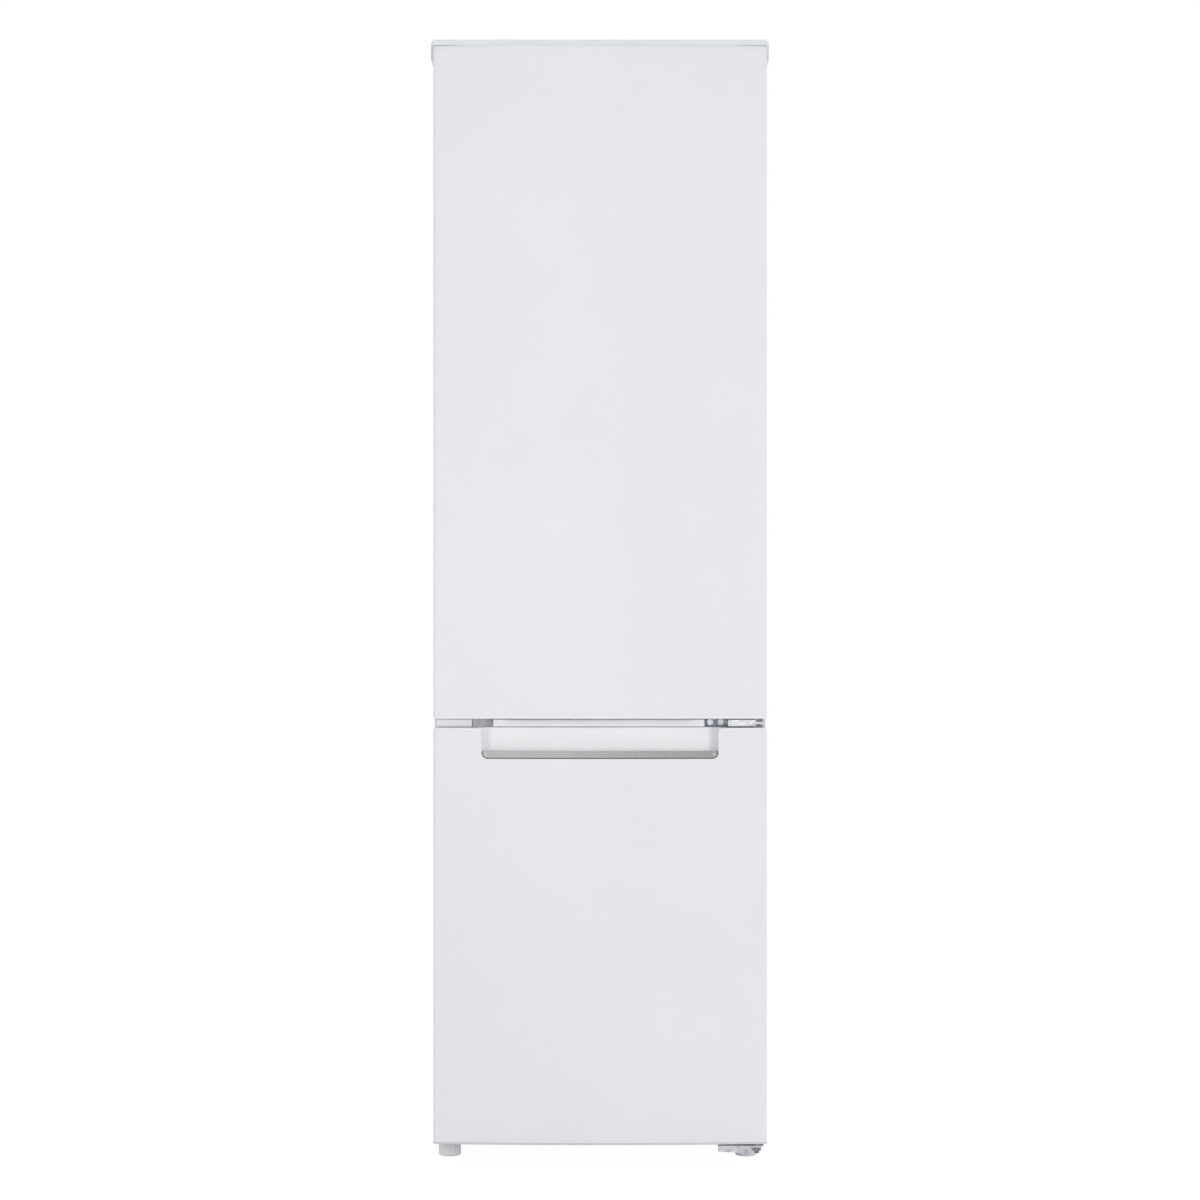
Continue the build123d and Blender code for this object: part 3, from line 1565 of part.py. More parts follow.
# Metal strip over the lip: an angle, flush with the door's front, with the notch's round ends
with BuildPart() as handle_strip:
    with BuildSketch(Plane.XY.offset(notch_bottom)):
        add(door_plan(0, y_core_back))
        add(skin_plan, mode=Mode.SUBTRACT)
    extrude(amount=lip_height + strip_top)
    with BuildSketch(Plane.XY.offset(lip_top)):
        add(door_plan(0, y_core_back))
        add(door_plan(lip_inset + lip_wall, y_core_back), mode=Mode.SUBTRACT)
    extrude(amount=strip_top)
    with BuildSketch(facing(y_front)):
        add(notch_outline(strip_gap))
    extrude(amount=-door_crown - door_corner, mode=Mode.INTERSECT)
save(handle_strip, "handle_strip")

# Freezer door bottom cap with the lower hinge bore
with BuildPart() as freezer_door_bottom_cap:
    add(freezer_bottom_cap)
    post(pivot_x, pivot_y, boss_radius, freezer_bottom + cap_rim, bottom_boss[1])
    post(pivot_x, pivot_y, pin_radius + fit, *bottom_bore, Mode.SUBTRACT)
save(freezer_door_bottom_cap, "freezer_door_bottom_cap")

# Freezer door foam, filling the skin and the liner's bulge round the grip block
freezer_bulge_core = freezer_bulge(liner)
with BuildPart() as freezer_door_foam:
    with BuildSketch(Plane.XY.offset(freezer_bottom + cap_rim + cap_plug)):
        add(foam_plan)
    extrude(amount=freezer_door_height - 2 * (cap_rim + cap_plug))
    add(freezer_bulge_core)
    block(
        (-grip_block_half, grip_block_half),
        (y_front, y_grip_block),
        (grip_block_low, freezer_top),
        Mode.SUBTRACT,
    )
    post(pivot_x, pivot_y, boss_radius, centre_down_boss[0], freezer_top, Mode.SUBTRACT)
    post(pivot_x, pivot_y, boss_radius, freezer_bottom, bottom_boss[1], Mode.SUBTRACT)
save(freezer_door_foam, "freezer_door_foam")

# Freezer door liner: rim behind the gasket and a flat bulge
freezer_bulge_outside = freezer_bulge(0)
with BuildPart() as freezer_door_liner:
    block(
        (sheet - half_width, half_width - sheet),
        (y_core_back, y_seal),
        (freezer_bottom + cap_rim, freezer_top - cap_rim),
    )
    add(freezer_bulge_outside)
    add(freezer_bulge_core, mode=Mode.SUBTRACT)
save(freezer_door_liner, "freezer_door_liner")
gasket(freezer_bottom, freezer_top, "freezer_door_gasket")
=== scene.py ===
import math
import bpy
import bmesh
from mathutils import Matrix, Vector


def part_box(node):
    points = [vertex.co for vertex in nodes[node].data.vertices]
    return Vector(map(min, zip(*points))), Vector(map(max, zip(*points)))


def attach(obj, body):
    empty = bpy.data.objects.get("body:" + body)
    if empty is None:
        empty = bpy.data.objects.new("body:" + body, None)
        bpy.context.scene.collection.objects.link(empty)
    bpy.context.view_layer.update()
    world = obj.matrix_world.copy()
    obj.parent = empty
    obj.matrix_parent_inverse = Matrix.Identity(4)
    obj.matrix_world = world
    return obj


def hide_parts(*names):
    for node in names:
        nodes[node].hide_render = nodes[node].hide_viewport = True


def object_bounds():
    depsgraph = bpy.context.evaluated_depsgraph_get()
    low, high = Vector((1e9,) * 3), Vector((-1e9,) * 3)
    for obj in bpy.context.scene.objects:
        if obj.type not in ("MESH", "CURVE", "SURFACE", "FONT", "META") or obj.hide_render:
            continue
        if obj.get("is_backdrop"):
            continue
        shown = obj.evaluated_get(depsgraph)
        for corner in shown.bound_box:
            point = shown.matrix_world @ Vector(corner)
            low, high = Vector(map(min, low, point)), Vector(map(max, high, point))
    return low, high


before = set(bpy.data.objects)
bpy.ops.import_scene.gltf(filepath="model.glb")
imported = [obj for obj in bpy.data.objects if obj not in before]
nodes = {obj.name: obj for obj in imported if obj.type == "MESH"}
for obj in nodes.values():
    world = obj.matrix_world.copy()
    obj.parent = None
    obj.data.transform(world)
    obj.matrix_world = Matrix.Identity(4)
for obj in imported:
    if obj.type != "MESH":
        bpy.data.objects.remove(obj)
cadLow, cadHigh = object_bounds()
scene = bpy.context.scene
scene.view_settings.view_transform = "Standard"
print("frame loaded:", len(nodes), "nodes")

# camera, straight at the doors from about five metres
photoView = {
    "distance": 5.0,  # from the doors' crown
    "height": 0.898,
    "widthAtDoors": 1.908,
    "sensor": 36,  # millimetres
}
cameraData = bpy.data.cameras.new("frontCamera")
cameraData.sensor_width = photoView["sensor"]
cameraData.lens = photoView["sensor"] * photoView["distance"] / photoView["widthAtDoors"]
camera = bpy.data.objects.new("frontCamera", cameraData)
camera.location = (0, cadLow.y - photoView["distance"], photoView["height"])
camera.rotation_euler = (math.radians(90), 0, 0)
scene.collection.objects.link(camera)
scene.camera = camera
print("camera placed")


# colour from the usual 0 to 255 values to what the shader takes
def shade(red, green, blue):
    out = []
    for v in (red, green, blue):
        v = v / 255
        out.append(v / 12.92 if v <= 0.04045 else ((v + 0.055) / 1.055) ** 2.4)
    return (*out, 1.0)


def startFinish(name):
    material = bpy.data.materials.new(name)
    material.use_nodes = True
    tree = material.node_tree
    shader = tree.nodes["Principled BSDF"]
    where = tree.nodes.new("ShaderNodeTexCoord")
    return material, tree, shader, where.outputs["Object"]


def stretched(tree, where, scale):
    mapping = tree.nodes.new("ShaderNodeMapping")
    mapping.inputs["Scale"].default_value = scale
    tree.links.new(where, mapping.inputs["Vector"])
    return mapping.outputs["Vector"]


def noise(tree, where, scale, detail=3.0, rough=0.5):
    node = tree.nodes.new("ShaderNodeTexNoise")
    node.inputs["Scale"].default_value = scale
    node.inputs["Detail"].default_value = detail
    node.inputs["Roughness"].default_value = rough
    tree.links.new(where, node.inputs["Vector"])
    return node.outputs["Fac"]


def cellColours(tree, where, scale):
    node = tree.nodes.new("ShaderNodeTexVoronoi")
    node.inputs["Scale"].default_value = scale
    tree.links.new(where, node.inputs["Vector"])
    return node.outputs["Color"]


noiseLow, noiseHigh = 0.3, 0.7  # most values of a noise texture lie between these


def colourBetween(tree, shader, fac, dark, light, low=noiseLow, high=noiseHigh):
    ramp = tree.nodes.new("ShaderNodeValToRGB")
    ramp.color_ramp.elements[0].position = low
    ramp.color_ramp.elements[0].color = dark
    ramp.color_ramp.elements[1].position = high
    ramp.color_ramp.elements[1].color = light
    tree.links.new(fac, ramp.inputs["Fac"])
    tree.links.new(ramp.outputs["Color"], shader.inputs["Base Color"])
    return ramp.outputs["Color"]


def roughBetween(tree, shader, fac, smooth, rough):
    spread = tree.nodes.new("ShaderNodeMapRange")
    spread.inputs["From Min"].default_value = noiseLow
    spread.inputs["From Max"].default_value = noiseHigh
    spread.inputs["To Min"].default_value = smooth
    spread.inputs["To Max"].default_value = rough
    tree.links.new(fac, spread.inputs["Value"])
    tree.links.new(spread.outputs["Result"], shader.inputs["Roughness"])


def relief(tree, shader, height, depth, strength=1.0):
    bump = tree.nodes.new("ShaderNodeBump")
    bump.inputs["Distance"].default_value = depth
    bump.inputs["Strength"].default_value = strength
    tree.links.new(height, bump.inputs["Height"])
    tree.links.new(bump.outputs["Normal"], shader.inputs["Normal"])


# one entry per finish: two close colours, gloss range, grain size (per metre) and relief
finishes = {
    "doorPaint": {"dark": (229, 230, 235), "light": (233, 233, 238), "tone": 2.2, "gloss": (0.3, 0.38),
                  "grain": 420, "depth": 0.00003, "coat": 0.15},
    "sidePaint": {"dark": (227, 228, 233), "light": (233, 233, 238), "tone": 3.0, "gloss": (0.34, 0.44),
                  "grain": 380, "depth": 0.00005},
    "whiteMoulding": {"dark": (228, 229, 233), "light": (234, 235, 238), "tone": 14, "gloss": (0.36, 0.46),
                      "grain": 1500, "depth": 0.00002},
    "capMoulding": {"dark": (226, 229, 235), "light": (231, 234, 239), "tone": 9, "gloss": (0.34, 0.42),
                    "grain": 1400, "depth": 0.00002},
    # painted shade: a greyer copy of the cap moulding for the freezer door's bottom cap, standing in for the
    # shade where it curves under
    "shadedBottomCapMoulding": {"dark": (206, 209, 215), "light": (212, 215, 221), "tone": 9, "gloss": (0.34, 0.42),
                        "grain": 1400, "depth": 0.00002},
    "lidGrain": {"dark": (224, 227, 232), "light": (232, 234, 238), "tone": 11, "gloss": (0.42, 0.56),
                 "grain": 620, "depth": 0.00018},
    "scoopMoulding": {"dark": (240, 240, 243), "light": (246, 246, 248), "tone": 12, "gloss": (0.34, 0.44),
                      "grain": 1400, "depth": 0.00002},
    "railPaint": {"dark": (240, 241, 244), "light": (246, 247, 249), "tone": 10, "gloss": (0.3, 0.4),
                  "grain": 420, "depth": 0.00004},
    # painted shadow: dark finish for the bead that stands in for the shade in the slot under the lip
    "paintedSlotShadow": {"dark": (66, 67, 69), "light": (88, 89, 91), "tone": 140, "gloss": (0.6, 0.75),
                "grain": 1500, "depth": 0.00004},
    "scaleInk": {"dark": (118, 122, 128), "light": (136, 140, 146), "tone": 90, "gloss": (0.4, 0.55),
                 "grain": 1600, "depth": 0.00002},
    "linerGloss": {"dark": (238, 239, 242), "light": (244, 245, 247), "tone": 5, "gloss": (0.2, 0.28),
                   "grain": 150, "depth": 0.00008},
    "foamCore": {"dark": (205, 178, 118), "light": (231, 211, 160), "tone": 60, "gloss": (0.8, 0.95),
                 "grain": 420, "depth": 0.0006},
    "gasketVinyl": {"dark": (214, 215, 218), "light": (226, 227, 229), "tone": 40, "gloss": (0.5, 0.62),
                    "grain": 900, "depth": 0.00003},
    "footMoulding": {"dark": (218, 220, 223), "light": (232, 233, 236), "tone": 60, "gloss": (0.42, 0.55),
                     "grain": 1300, "depth": 0.00004},
    "rollerNylon": {"dark": (196, 197, 198), "light": (214, 215, 214), "tone": 80, "gloss": (0.45, 0.6),
                    "grain": 1200, "depth": 0.00005},
    "blackMoulding": {"dark": (24, 24, 25), "light": (38, 38, 40), "tone": 60, "gloss": (0.45, 0.6),
                      "grain": 1500, "depth": 0.00006},
    "mountRubber": {"dark": (22, 22, 22), "light": (36, 35, 34), "tone": 120, "gloss": (0.7, 0.85),
                    "grain": 1600, "depth": 0.00008},
    "blackEnamel": {"dark": (14, 14, 15), "light": (27, 27, 28), "tone": 30, "gloss": (0.28, 0.42),
                    "grain": 300, "depth": 0.00008, "coat": 0.3},
    "tubeCoating": {"dark": (222, 225, 228), "light": (236, 238, 240), "tone": 40, "gloss": (0.35, 0.5),
                    "grain": 500, "depth": 0.00006},
}


plainPatches = 3  # gloss varies in patches this much finer than the colour


def plainFinish(name):
    s = finishes[name]
    material, tree, shader, where = startFinish(name)
    tone = noise(tree, where, s["tone"], detail=4)
    colourBetween(tree, shader, tone, shade(*s["dark"]), shade(*s["light"]))
    roughBetween(tree, shader, noise(tree, where, s["tone"] * plainPatches), *s["gloss"])
    relief(tree, shader, noise(tree, where, s["grain"], detail=2), s["depth"])
    shader.inputs["Coat Weight"].default_value = s.get("coat", 0.0)
    return material


# bare metals: two colours of the flakes, flakes per metre and gloss range
metals = {
    "zincPlate": {"dark": (178, 181, 185), "light": (198, 201, 204), "spangle": 170, "gloss": (0.36, 0.52)},
    "hingeSteel": {"dark": (186, 188, 193), "light": (224, 225, 229), "spangle": 160, "gloss": (0.26, 0.4),
                   "paintedShadeTint": (172, 175, 184), "paintedShadeBehind": -0.232},  # painted shade: behind this depth the plate's colour is tinted darker, as the shade deep in the door gap; the lips that face the room keep the plain colour
    # painted shade: a darker copy of the hinge steel for the bottom hinge, standing in for its shade under
    # the door
    "shadedLowerHingeSteel": {"dark": (168, 170, 176), "light": (208, 210, 215), "spangle": 160,
                        "gloss": (0.26, 0.4)},
    "pinSteel": {"dark": (92, 94, 98), "light": (146, 148, 152), "spangle": 300, "gloss": (0.14, 0.24)},
    "screwSteel": {"dark": (176, 178, 182), "light": (216, 217, 219), "spangle": 400, "gloss": (0.2, 0.32)},
    "copperTube": {"dark": (158, 92, 62), "light": (199, 131, 95), "spangle": 70, "gloss": (0.24, 0.42)},
}


# the last entry is over how many metres the painted shade behind a depth fades in
metalGrain = {"patches": 0.6, "grain": 6, "depth": 0.00003, "low": 0.1, "high": 0.9, "paintedShadeFade": 0.006}


# painted shade: darkens the colour behind a depth in the cabinet, where the door gap lies in shade
def paintedShadeBehind(tree, shader, where, colour, tint, depth):
    axes = tree.nodes.new("ShaderNodeSeparateXYZ")
    tree.links.new(where, axes.inputs["Vector"])
    fade = tree.nodes.new("ShaderNodeMapRange")
    fade.inputs["From Min"].default_value = depth
    fade.inputs["From Max"].default_value = depth + metalGrain["paintedShadeFade"]
    tree.links.new(axes.outputs["Y"], fade.inputs["Value"])
    tinted = tree.nodes.new("ShaderNodeMix")
    tinted.data_type = "RGBA"
    tinted.blend_type = "MULTIPLY"
    sockets = {socket.identifier: socket for socket in tinted.inputs}
    tree.links.new(fade.outputs["Result"], sockets["Factor_Float"])
    tree.links.new(colour, sockets["A_Color"])
    sockets["B_Color"].default_value = tint
    results = {socket.identifier: socket for socket in tinted.outputs}
    tree.links.new(results["Result_Color"], shader.inputs["Base Color"])


def metalFinish(name):
    s = metals[name]
    material, tree, shader, where = startFinish(name)
    flakes = cellColours(tree, where, s["spangle"])
    grey = tree.nodes.new("ShaderNodeRGBToBW")
    tree.links.new(flakes, grey.inputs["Color"])
    colour = colourBetween(tree, shader, grey.outputs["Val"], shade(*s["dark"]), shade(*s["light"]),
                           metalGrain["low"], metalGrain["high"])
    # painted shade on the plate deep in the door gap
    if "paintedShadeTint" in s:
        paintedShadeBehind(tree, shader, where, colour, shade(*s["paintedShadeTint"]), s["paintedShadeBehind"])
    patches = noise(tree, where, s["spangle"] * metalGrain["patches"], detail=4)
    roughBetween(tree, shader, patches, *s["gloss"])
    grain = noise(tree, where, s["spangle"] * metalGrain["grain"], detail=2)
    relief(tree, shader, grain, metalGrain["depth"])
    shader.inputs["Metallic"].default_value = 1.0
    return material


# satin strip: long fine brushing along the door's width
stripLook = {"dark": (144, 144, 143), "light": (158, 158, 157), "gloss": (0.24, 0.34),
             "stretch": (3, 900, 900), "streaks": 4.0, "depth": 0.00001, "strength": 0.6, "brushing": 0.5}


def satinStrip():
    s = stripLook
    material, tree, shader, where = startFinish("satinStrip")
    streaks = noise(tree, stretched(tree, where, s["stretch"]), s["streaks"], detail=6, rough=0.6)
    colourBetween(tree, shader, streaks, shade(*s["dark"]), shade(*s["light"]))
    roughBetween(tree, shader, streaks, *s["gloss"])
    relief(tree, shader, streaks, s["depth"], s["strength"])
    shader.inputs["Metallic"].default_value = 1.0
    shader.inputs["Anisotropic"].default_value = s["brushing"]
    return material


# clear pieces: tint, gloss, and how much light goes through or how much the piece covers
clears = {
    "shelfGlass": {"tint": (226, 240, 234), "gloss": (0.02, 0.05), "through": 0.92, "ior": 1.5, "tone": 8},
    "clearTray": {"tint": (236, 243, 247), "gloss": (0.08, 0.16), "through": 0.0, "ior": 1.5, "tone": 20,
                  "cover": 0.4},
    "frostedTray": {"tint": (226, 237, 246), "gloss": (0.3, 0.42), "through": 0.0, "ior": 1.5, "tone": 26,
                    "cover": 0.7},
    "lampDiffuser": {"tint": (244, 246, 246), "gloss": (0.3, 0.4), "through": 0.5, "ior": 1.45, "tone": 60},
}
clearGrain = {"darker": (6, 5, 4), "patches": 6, "grain": 20, "depth": 0.00002}


def clearFinish(name):
    s = clears[name]
    material, tree, shader, where = startFinish(name)
    darker = [full - less for full, less in zip(s["tint"], clearGrain["darker"])]
    tone = noise(tree, where, s["tone"])
    colourBetween(tree, shader, tone, shade(*darker), shade(*s["tint"]))
    roughBetween(tree, shader, noise(tree, where, s["tone"] * clearGrain["patches"]), *s["gloss"])
    grain = noise(tree, where, s["tone"] * clearGrain["grain"], detail=2)
    relief(tree, shader, grain, clearGrain["depth"])
    shader.inputs["Transmission Weight"].default_value = s["through"]
    shader.inputs["IOR"].default_value = s["ior"]
    shader.inputs["Alpha"].default_value = s.get("cover", 1.0)
    return material


looks = {name: plainFinish(name) for name in finishes}
looks.update({name: metalFinish(name) for name in metals})
looks.update({name: clearFinish(name) for name in clears})
looks["satinStrip"] = satinStrip()

nodeLooks = {
    "doorPaint": ["fridge_door_skin", "freezer_door_skin"],
    "sidePaint": ["cabinet_wrapper"],
    "railPaint": ["centre_rail"],
    "scoopMoulding": ["freezer_door_top_cap", "fridge_door_bottom_cap"],
    "lidGrain": ["top_lid"],
    "capMoulding": ["fridge_door_top_cap"],
    "shadedBottomCapMoulding": ["freezer_door_bottom_cap"],
    "whiteMoulding": ["centre_blanks", "lamp_housing", "thermostat_knob", "light_switch", "shelf_trims"],
    "linerGloss": ["fridge_liner", "freezer_liner", "fridge_door_liner", "freezer_door_liner"],
    "foamCore": ["cabinet_foam", "fridge_door_foam", "freezer_door_foam"],
    "zincPlate": ["back_panel", "base_frame"],
    "hingeSteel": ["top_hinge", "centre_hinge"],
    "shadedLowerHingeSteel": ["bottom_hinge"],
    "pinSteel": ["hinge_pins"],
    "screwSteel": ["hinge_screws", "foot_stem_left", "foot_stem_right", "roller_axles"],
    "satinStrip": ["handle_strip"],
    "blackEnamel": ["compressor", "condenser_tube", "condenser_wires"],
    "tubeCoating": ["evaporators"],
    "copperTube": ["filter_drier", "refrigerant_lines"],
    "mountRubber": ["compressor_mounts"],
    "gasketVinyl": ["fridge_door_gasket", "freezer_door_gasket"],
    "blackMoulding": ["terminal_cover", "evaporation_tray"],
    "footMoulding": ["foot_pad_left", "foot_pad_right"],
    "rollerNylon": ["rear_roller_left", "rear_roller_right"],
    "shelfGlass": ["crisper_cover", "shelf_glass_lower", "shelf_glass_middle", "shelf_glass_upper"],
    "clearTray": ["crisper_drawer", "bottle_balcony", "door_balcony_lower", "door_balcony_middle",
                  "door_balcony_upper"],
    "lampDiffuser": ["lamp_cover"],
    "frostedTray": ["freezer_drawer_lower", "freezer_drawer_middle", "freezer_drawer_upper"],
}
for look, names in nodeLooks.items():
    for name in names:
        piece = nodes[name]
        piece.data.materials.clear()
        piece.data.materials.append(looks[look])
dressed = {name for names in nodeLooks.values() for name in names}
print("finishes on", len(dressed), "of", len(nodes), "nodes")

perMetre = 1000
sharpFrom = math.radians(38)  # edges that turn more than this stay crisp
sink = 0.1  # how far an added piece reaches into the face that it stands on


# small pieces are measured in millimetres, in the same frame as the solids
def makePiece(name, body, look, build):
    grid = bmesh.new()
    build(grid)
    bmesh.ops.recalc_face_normals(grid, faces=grid.faces[:])
    bmesh.ops.scale(grid, vec=[1 / perMetre] * 3, verts=grid.verts[:])
    mesh = bpy.data.meshes.new(name)
    grid.to_mesh(mesh)
    grid.free()
    mesh.shade_smooth()
    mesh.set_sharp_from_angle(angle=sharpFrom)
    mesh.materials.append(looks[look])
    piece = bpy.data.objects.new(name, mesh)
    scene.collection.objects.link(piece)
    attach(piece, body)
    return piece


# a profile carried along stations of (place, across, up); it may change from one station to the next
def sweep(grid, profiles, stations, closed=False):
    if isinstance(profiles[0], tuple):
        profiles = [profiles] * len(stations)
    rings = []
    for profile, (place, across, up) in zip(profiles, stations):
        place, across, up = Vector(place), Vector(across), Vector(up)
        rings.append([grid.verts.new(place + across * u + up * v) for u, v in profile])
    pairs = list(zip(rings, rings[1:]))
    if closed:
        pairs.append((rings[-1], rings[0]))
    count = len(rings[0])
    for first, second in pairs:
        for i in range(count):
            j = (i + 1) % count
            grid.faces.new((first[i], first[j], second[j], second[i]))
    if not closed:
        grid.faces.new(rings[0])
        grid.faces.new(rings[-1])


# a profile of (radius, height) turned about an axis
def turned(grid, profile, centre, axis, sides, closed=False):
    tilt = Vector((0, 0, 1)).rotation_difference(Vector(axis)).to_matrix()
    rings = []
    for radius, height in profile:
        count = sides if radius else 1
        rings.append([grid.verts.new(Vector(centre) + tilt @ Vector((
            radius * math.cos(math.tau * k / count), radius * math.sin(math.tau * k / count), height)))
            for k in range(count)])
    pairs = list(zip(rings, rings[1:]))
    if closed:
        pairs.append((rings[-1], rings[0]))
    for first, second in pairs:
        for k in range(sides):
            m = (k + 1) % sides
            ring = [first[k % len(first)], first[m % len(first)]]
            ring += [second[m % len(second)], second[k % len(second)]]
            grid.faces.new(list(dict.fromkeys(ring)))


# a low rounded bead, from its foot just under the face to its flat crown
def beadProfile(width, rise):
    w = width / 2
    half = [(w, -2 * sink), (0.85 * w, 0.55 * rise), (0.4 * w, rise)]
    return [(-u, v) for u, v in half] + half[::-1]


runOut = {"length": 0.7, "width": 0.5, "rise": 0.25}  # shares of the bead's width, width and rise


# a straight pressed bead with run-out ends
def straightBead(grid, start, end, across, up, width, rise):
    start, end = Vector(start), Vector(end)
    along = (end - start).normalized() * width * runOut["length"]
    full = beadProfile(width, rise)
    small = [(u * runOut["width"], v * runOut["rise"]) for u, v in full]
    places = [start, start + along, end - along, end]
    sweep(grid, [small, full, full, small], [(place, across, up) for place in places])


# stations round a rectangle with round corners, standing on a face that looks along up
def loopStations(left, right, low, high, radius, y, up, steps=6):
    corners = [(right - radius, high - radius), (left + radius, high - radius),
               (left + radius, low + radius), (right - radius, low + radius)]
    stations = []
    for turn, (x, z) in enumerate(corners):
        for k in range(steps + 1):
            a = math.radians(90 * turn + 90 * k / steps)
            out = (math.cos(a), 0, math.sin(a))
            stations.append(((x + radius * out[0], y, z + radius * out[2]), out, up))
    return stations


def boxOf(name):
    low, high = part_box(name)
    return Vector(low) * perMetre, Vector(high) * perMetre


# door seals: a foot, bellows on both sides and a flat magnet face, mitred at the corners
sealProfile = [(1, 0), (20, 0), (20, 1.4), (18.6, 2), (15.5, 2.2), (12.4, 3.1), (11.5, 4.6), (12.6, 5.8),
               (13.8, 6.6), (13.8, 9.5), (13, 10.3), (1.2, 10.3), (0.3, 9.5), (0.3, 7), (1.6, 6), (2.3, 4.6),
               (1.4, 3.2), (0.3, 2.2), (0.3, 0.8)]
for name, body in (("fridge_door_gasket", "fridge_door"), ("freezer_door_gasket", "freezer_door")):
    low, high = boxOf(name)
    corners = [(low.x, low.z, 1, 1), (high.x, low.z, -1, 1), (high.x, high.z, -1, -1), (low.x, high.z, 1, -1)]
    stations = [((x, low.y, z), (right, 0, rise), (0, 1, 0)) for x, z, right, rise in corners]
    pieceName = "fridgeSeal" if body == "fridge_door" else "freezerSeal"
    seal = makePiece(pieceName, body, "gasketVinyl",
                     lambda grid: sweep(grid, sealProfile, stations, True))
    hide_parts(name)
print("door seals made")

# rolled rims on the door balconies
rim = {"radius": 20, "steps": 8,
       "profile": [(0, -3), (0, 0.6), (0.8, 1.5), (3.8, 1.5), (4.6, 0.6), (4.6, -1), (3.9, -2.3), (2.6, -3)]}


def rimStations(low, high):
    r = rim["radius"]
    stations = [((low.x, low.y, high.z), (1, 0, 0), (0, 0, 1))]
    for x, start in ((low.x + r, 180), (high.x - r, 90)):
        for k in range(rim["steps"] + 1):
            a = math.radians(start - 90 * k / rim["steps"])
            out = Vector((math.cos(a), math.sin(a), 0))
            stations.append((Vector((x, high.y - r, high.z)) + out * r, -out, (0, 0, 1)))
    stations.append(((high.x, low.y, high.z), (-1, 0, 0), (0, 0, 1)))
    return stations


for name in ("bottle_balcony", "door_balcony_lower", "door_balcony_middle", "door_balcony_upper"):
    low, high = boxOf(name)
    makePiece("rim." + name, "fridge_door", "whiteMoulding",
              lambda grid: sweep(grid, rim["profile"], rimStations(low, high)))
print("balcony rims made")

# moulded beads on the drawer fronts: one round the face, one round the finger pull
frontBead = {"width": 3.2, "rise": 1.1, "inset": 15, "topInset": 6, "radius": 8,
             "pullHalf": 65.5, "pullLow": 41.5, "pullHigh": 10.5, "pullRadius": 11}


def drawerFront(grid, low, high):
    s = frontBead
    profile = beadProfile(s["width"], s["rise"])
    face = (low.y, (0, -1, 0))
    sweep(grid, profile, loopStations(low.x + s["inset"], high.x - s["inset"], low.z + s["inset"],
                                      high.z - s["topInset"], s["radius"], *face), True)
    sweep(grid, profile, loopStations(-s["pullHalf"], s["pullHalf"], high.z - s["pullLow"],
                                      high.z - s["pullHigh"], s["pullRadius"], *face), True)


drawerLooks = {
    "crisper_drawer": ("clearTray", "clear_plastic"),
    "freezer_drawer_lower": ("frostedTray", "frosted_plastic"),
    "freezer_drawer_middle": ("frostedTray", "frosted_plastic"),
    "freezer_drawer_upper": ("frostedTray", "frosted_plastic"),
}
for name, (look, slot) in drawerLooks.items():
    low, high = boxOf(name)
    makePiece("beads." + name, name, look, lambda grid: drawerFront(grid, low, high))
print("drawer beads made")

# lamp lens ribs, dial scale and the knob's pointer
lens = {"ribs": 11, "endInset": 8, "sideInset": 9, "width": 4.2, "rise": 0.9}
dial = {"centre": (104, -142), "inner": 22.5, "thin": 0.8, "thick": 4.6, "reach": 135, "steps": 40,
        "ink": 0.25, "ticks": 7, "tickReach": (28.5, 32.5), "tickHalf": 0.5}
pointer = {"reach": (14, 4), "width": 1.6, "rise": 0.35}


def lensRibs(grid):
    s = lens
    low, high = boxOf("lamp_cover")
    for k in range(s["ribs"]):
        y = low.y + s["endInset"] + k * (high.y - low.y - 2 * s["endInset"]) / (s["ribs"] - 1)
        ends = [(x, y, low.z) for x in (low.x + s["sideInset"], high.x - s["sideInset"])]
        straightBead(grid, *ends, (0, 1, 0), (0, 0, -1), s["width"], s["rise"])


def dialScale(grid):
    s = dial
    x, y = s["centre"]
    under = boxOf("lamp_housing")[0].z
    stations, profiles = [], []
    for k in range(s["steps"] + 1):
        a = math.radians(-90 - s["reach"] + 2 * s["reach"] * k / s["steps"])
        out = Vector((math.cos(a), math.sin(a), 0))
        width = s["thin"] + (s["thick"] - s["thin"]) * k / s["steps"]
        stations.append((Vector((x, y, under)) + out * s["inner"], out, (0, 0, -1)))
        profiles.append([(0, -sink), (width, -sink), (width, s["ink"]), (0, s["ink"])])
    sweep(grid, profiles, stations)
    w = s["tickHalf"]
    for k in range(s["ticks"]):
        a = math.radians(-90 - s["reach"] + 2 * s["reach"] * k / (s["ticks"] - 1))
        out = Vector((math.cos(a), math.sin(a), 0))
        side = Vector((-out.y, out.x, 0))
        ends = [Vector((x, y, under)) + out * r for r in s["tickReach"]]
        sweep(grid, [(-w, -sink), (w, -sink), (w, s["ink"]), (-w, s["ink"])],
              [(end, side, (0, 0, -1)) for end in ends])


def knobPointer(grid):
    s = pointer
    x, y = dial["centre"]
    under = boxOf("thermostat_knob")[0].z
    ends = [(x, y - r, under) for r in s["reach"]]
    straightBead(grid, *ends, (1, 0, 0), (0, 0, -1), s["width"], s["rise"])


makePiece("lampLensRibs", "cabinet", "lampDiffuser", lensRibs)
makePiece("dialScale", "cabinet", "scaleInk", dialScale)
makePiece("knobPointer", "thermostat_knob", "scaleInk", knobPointer)
print("lamp and dial details made")

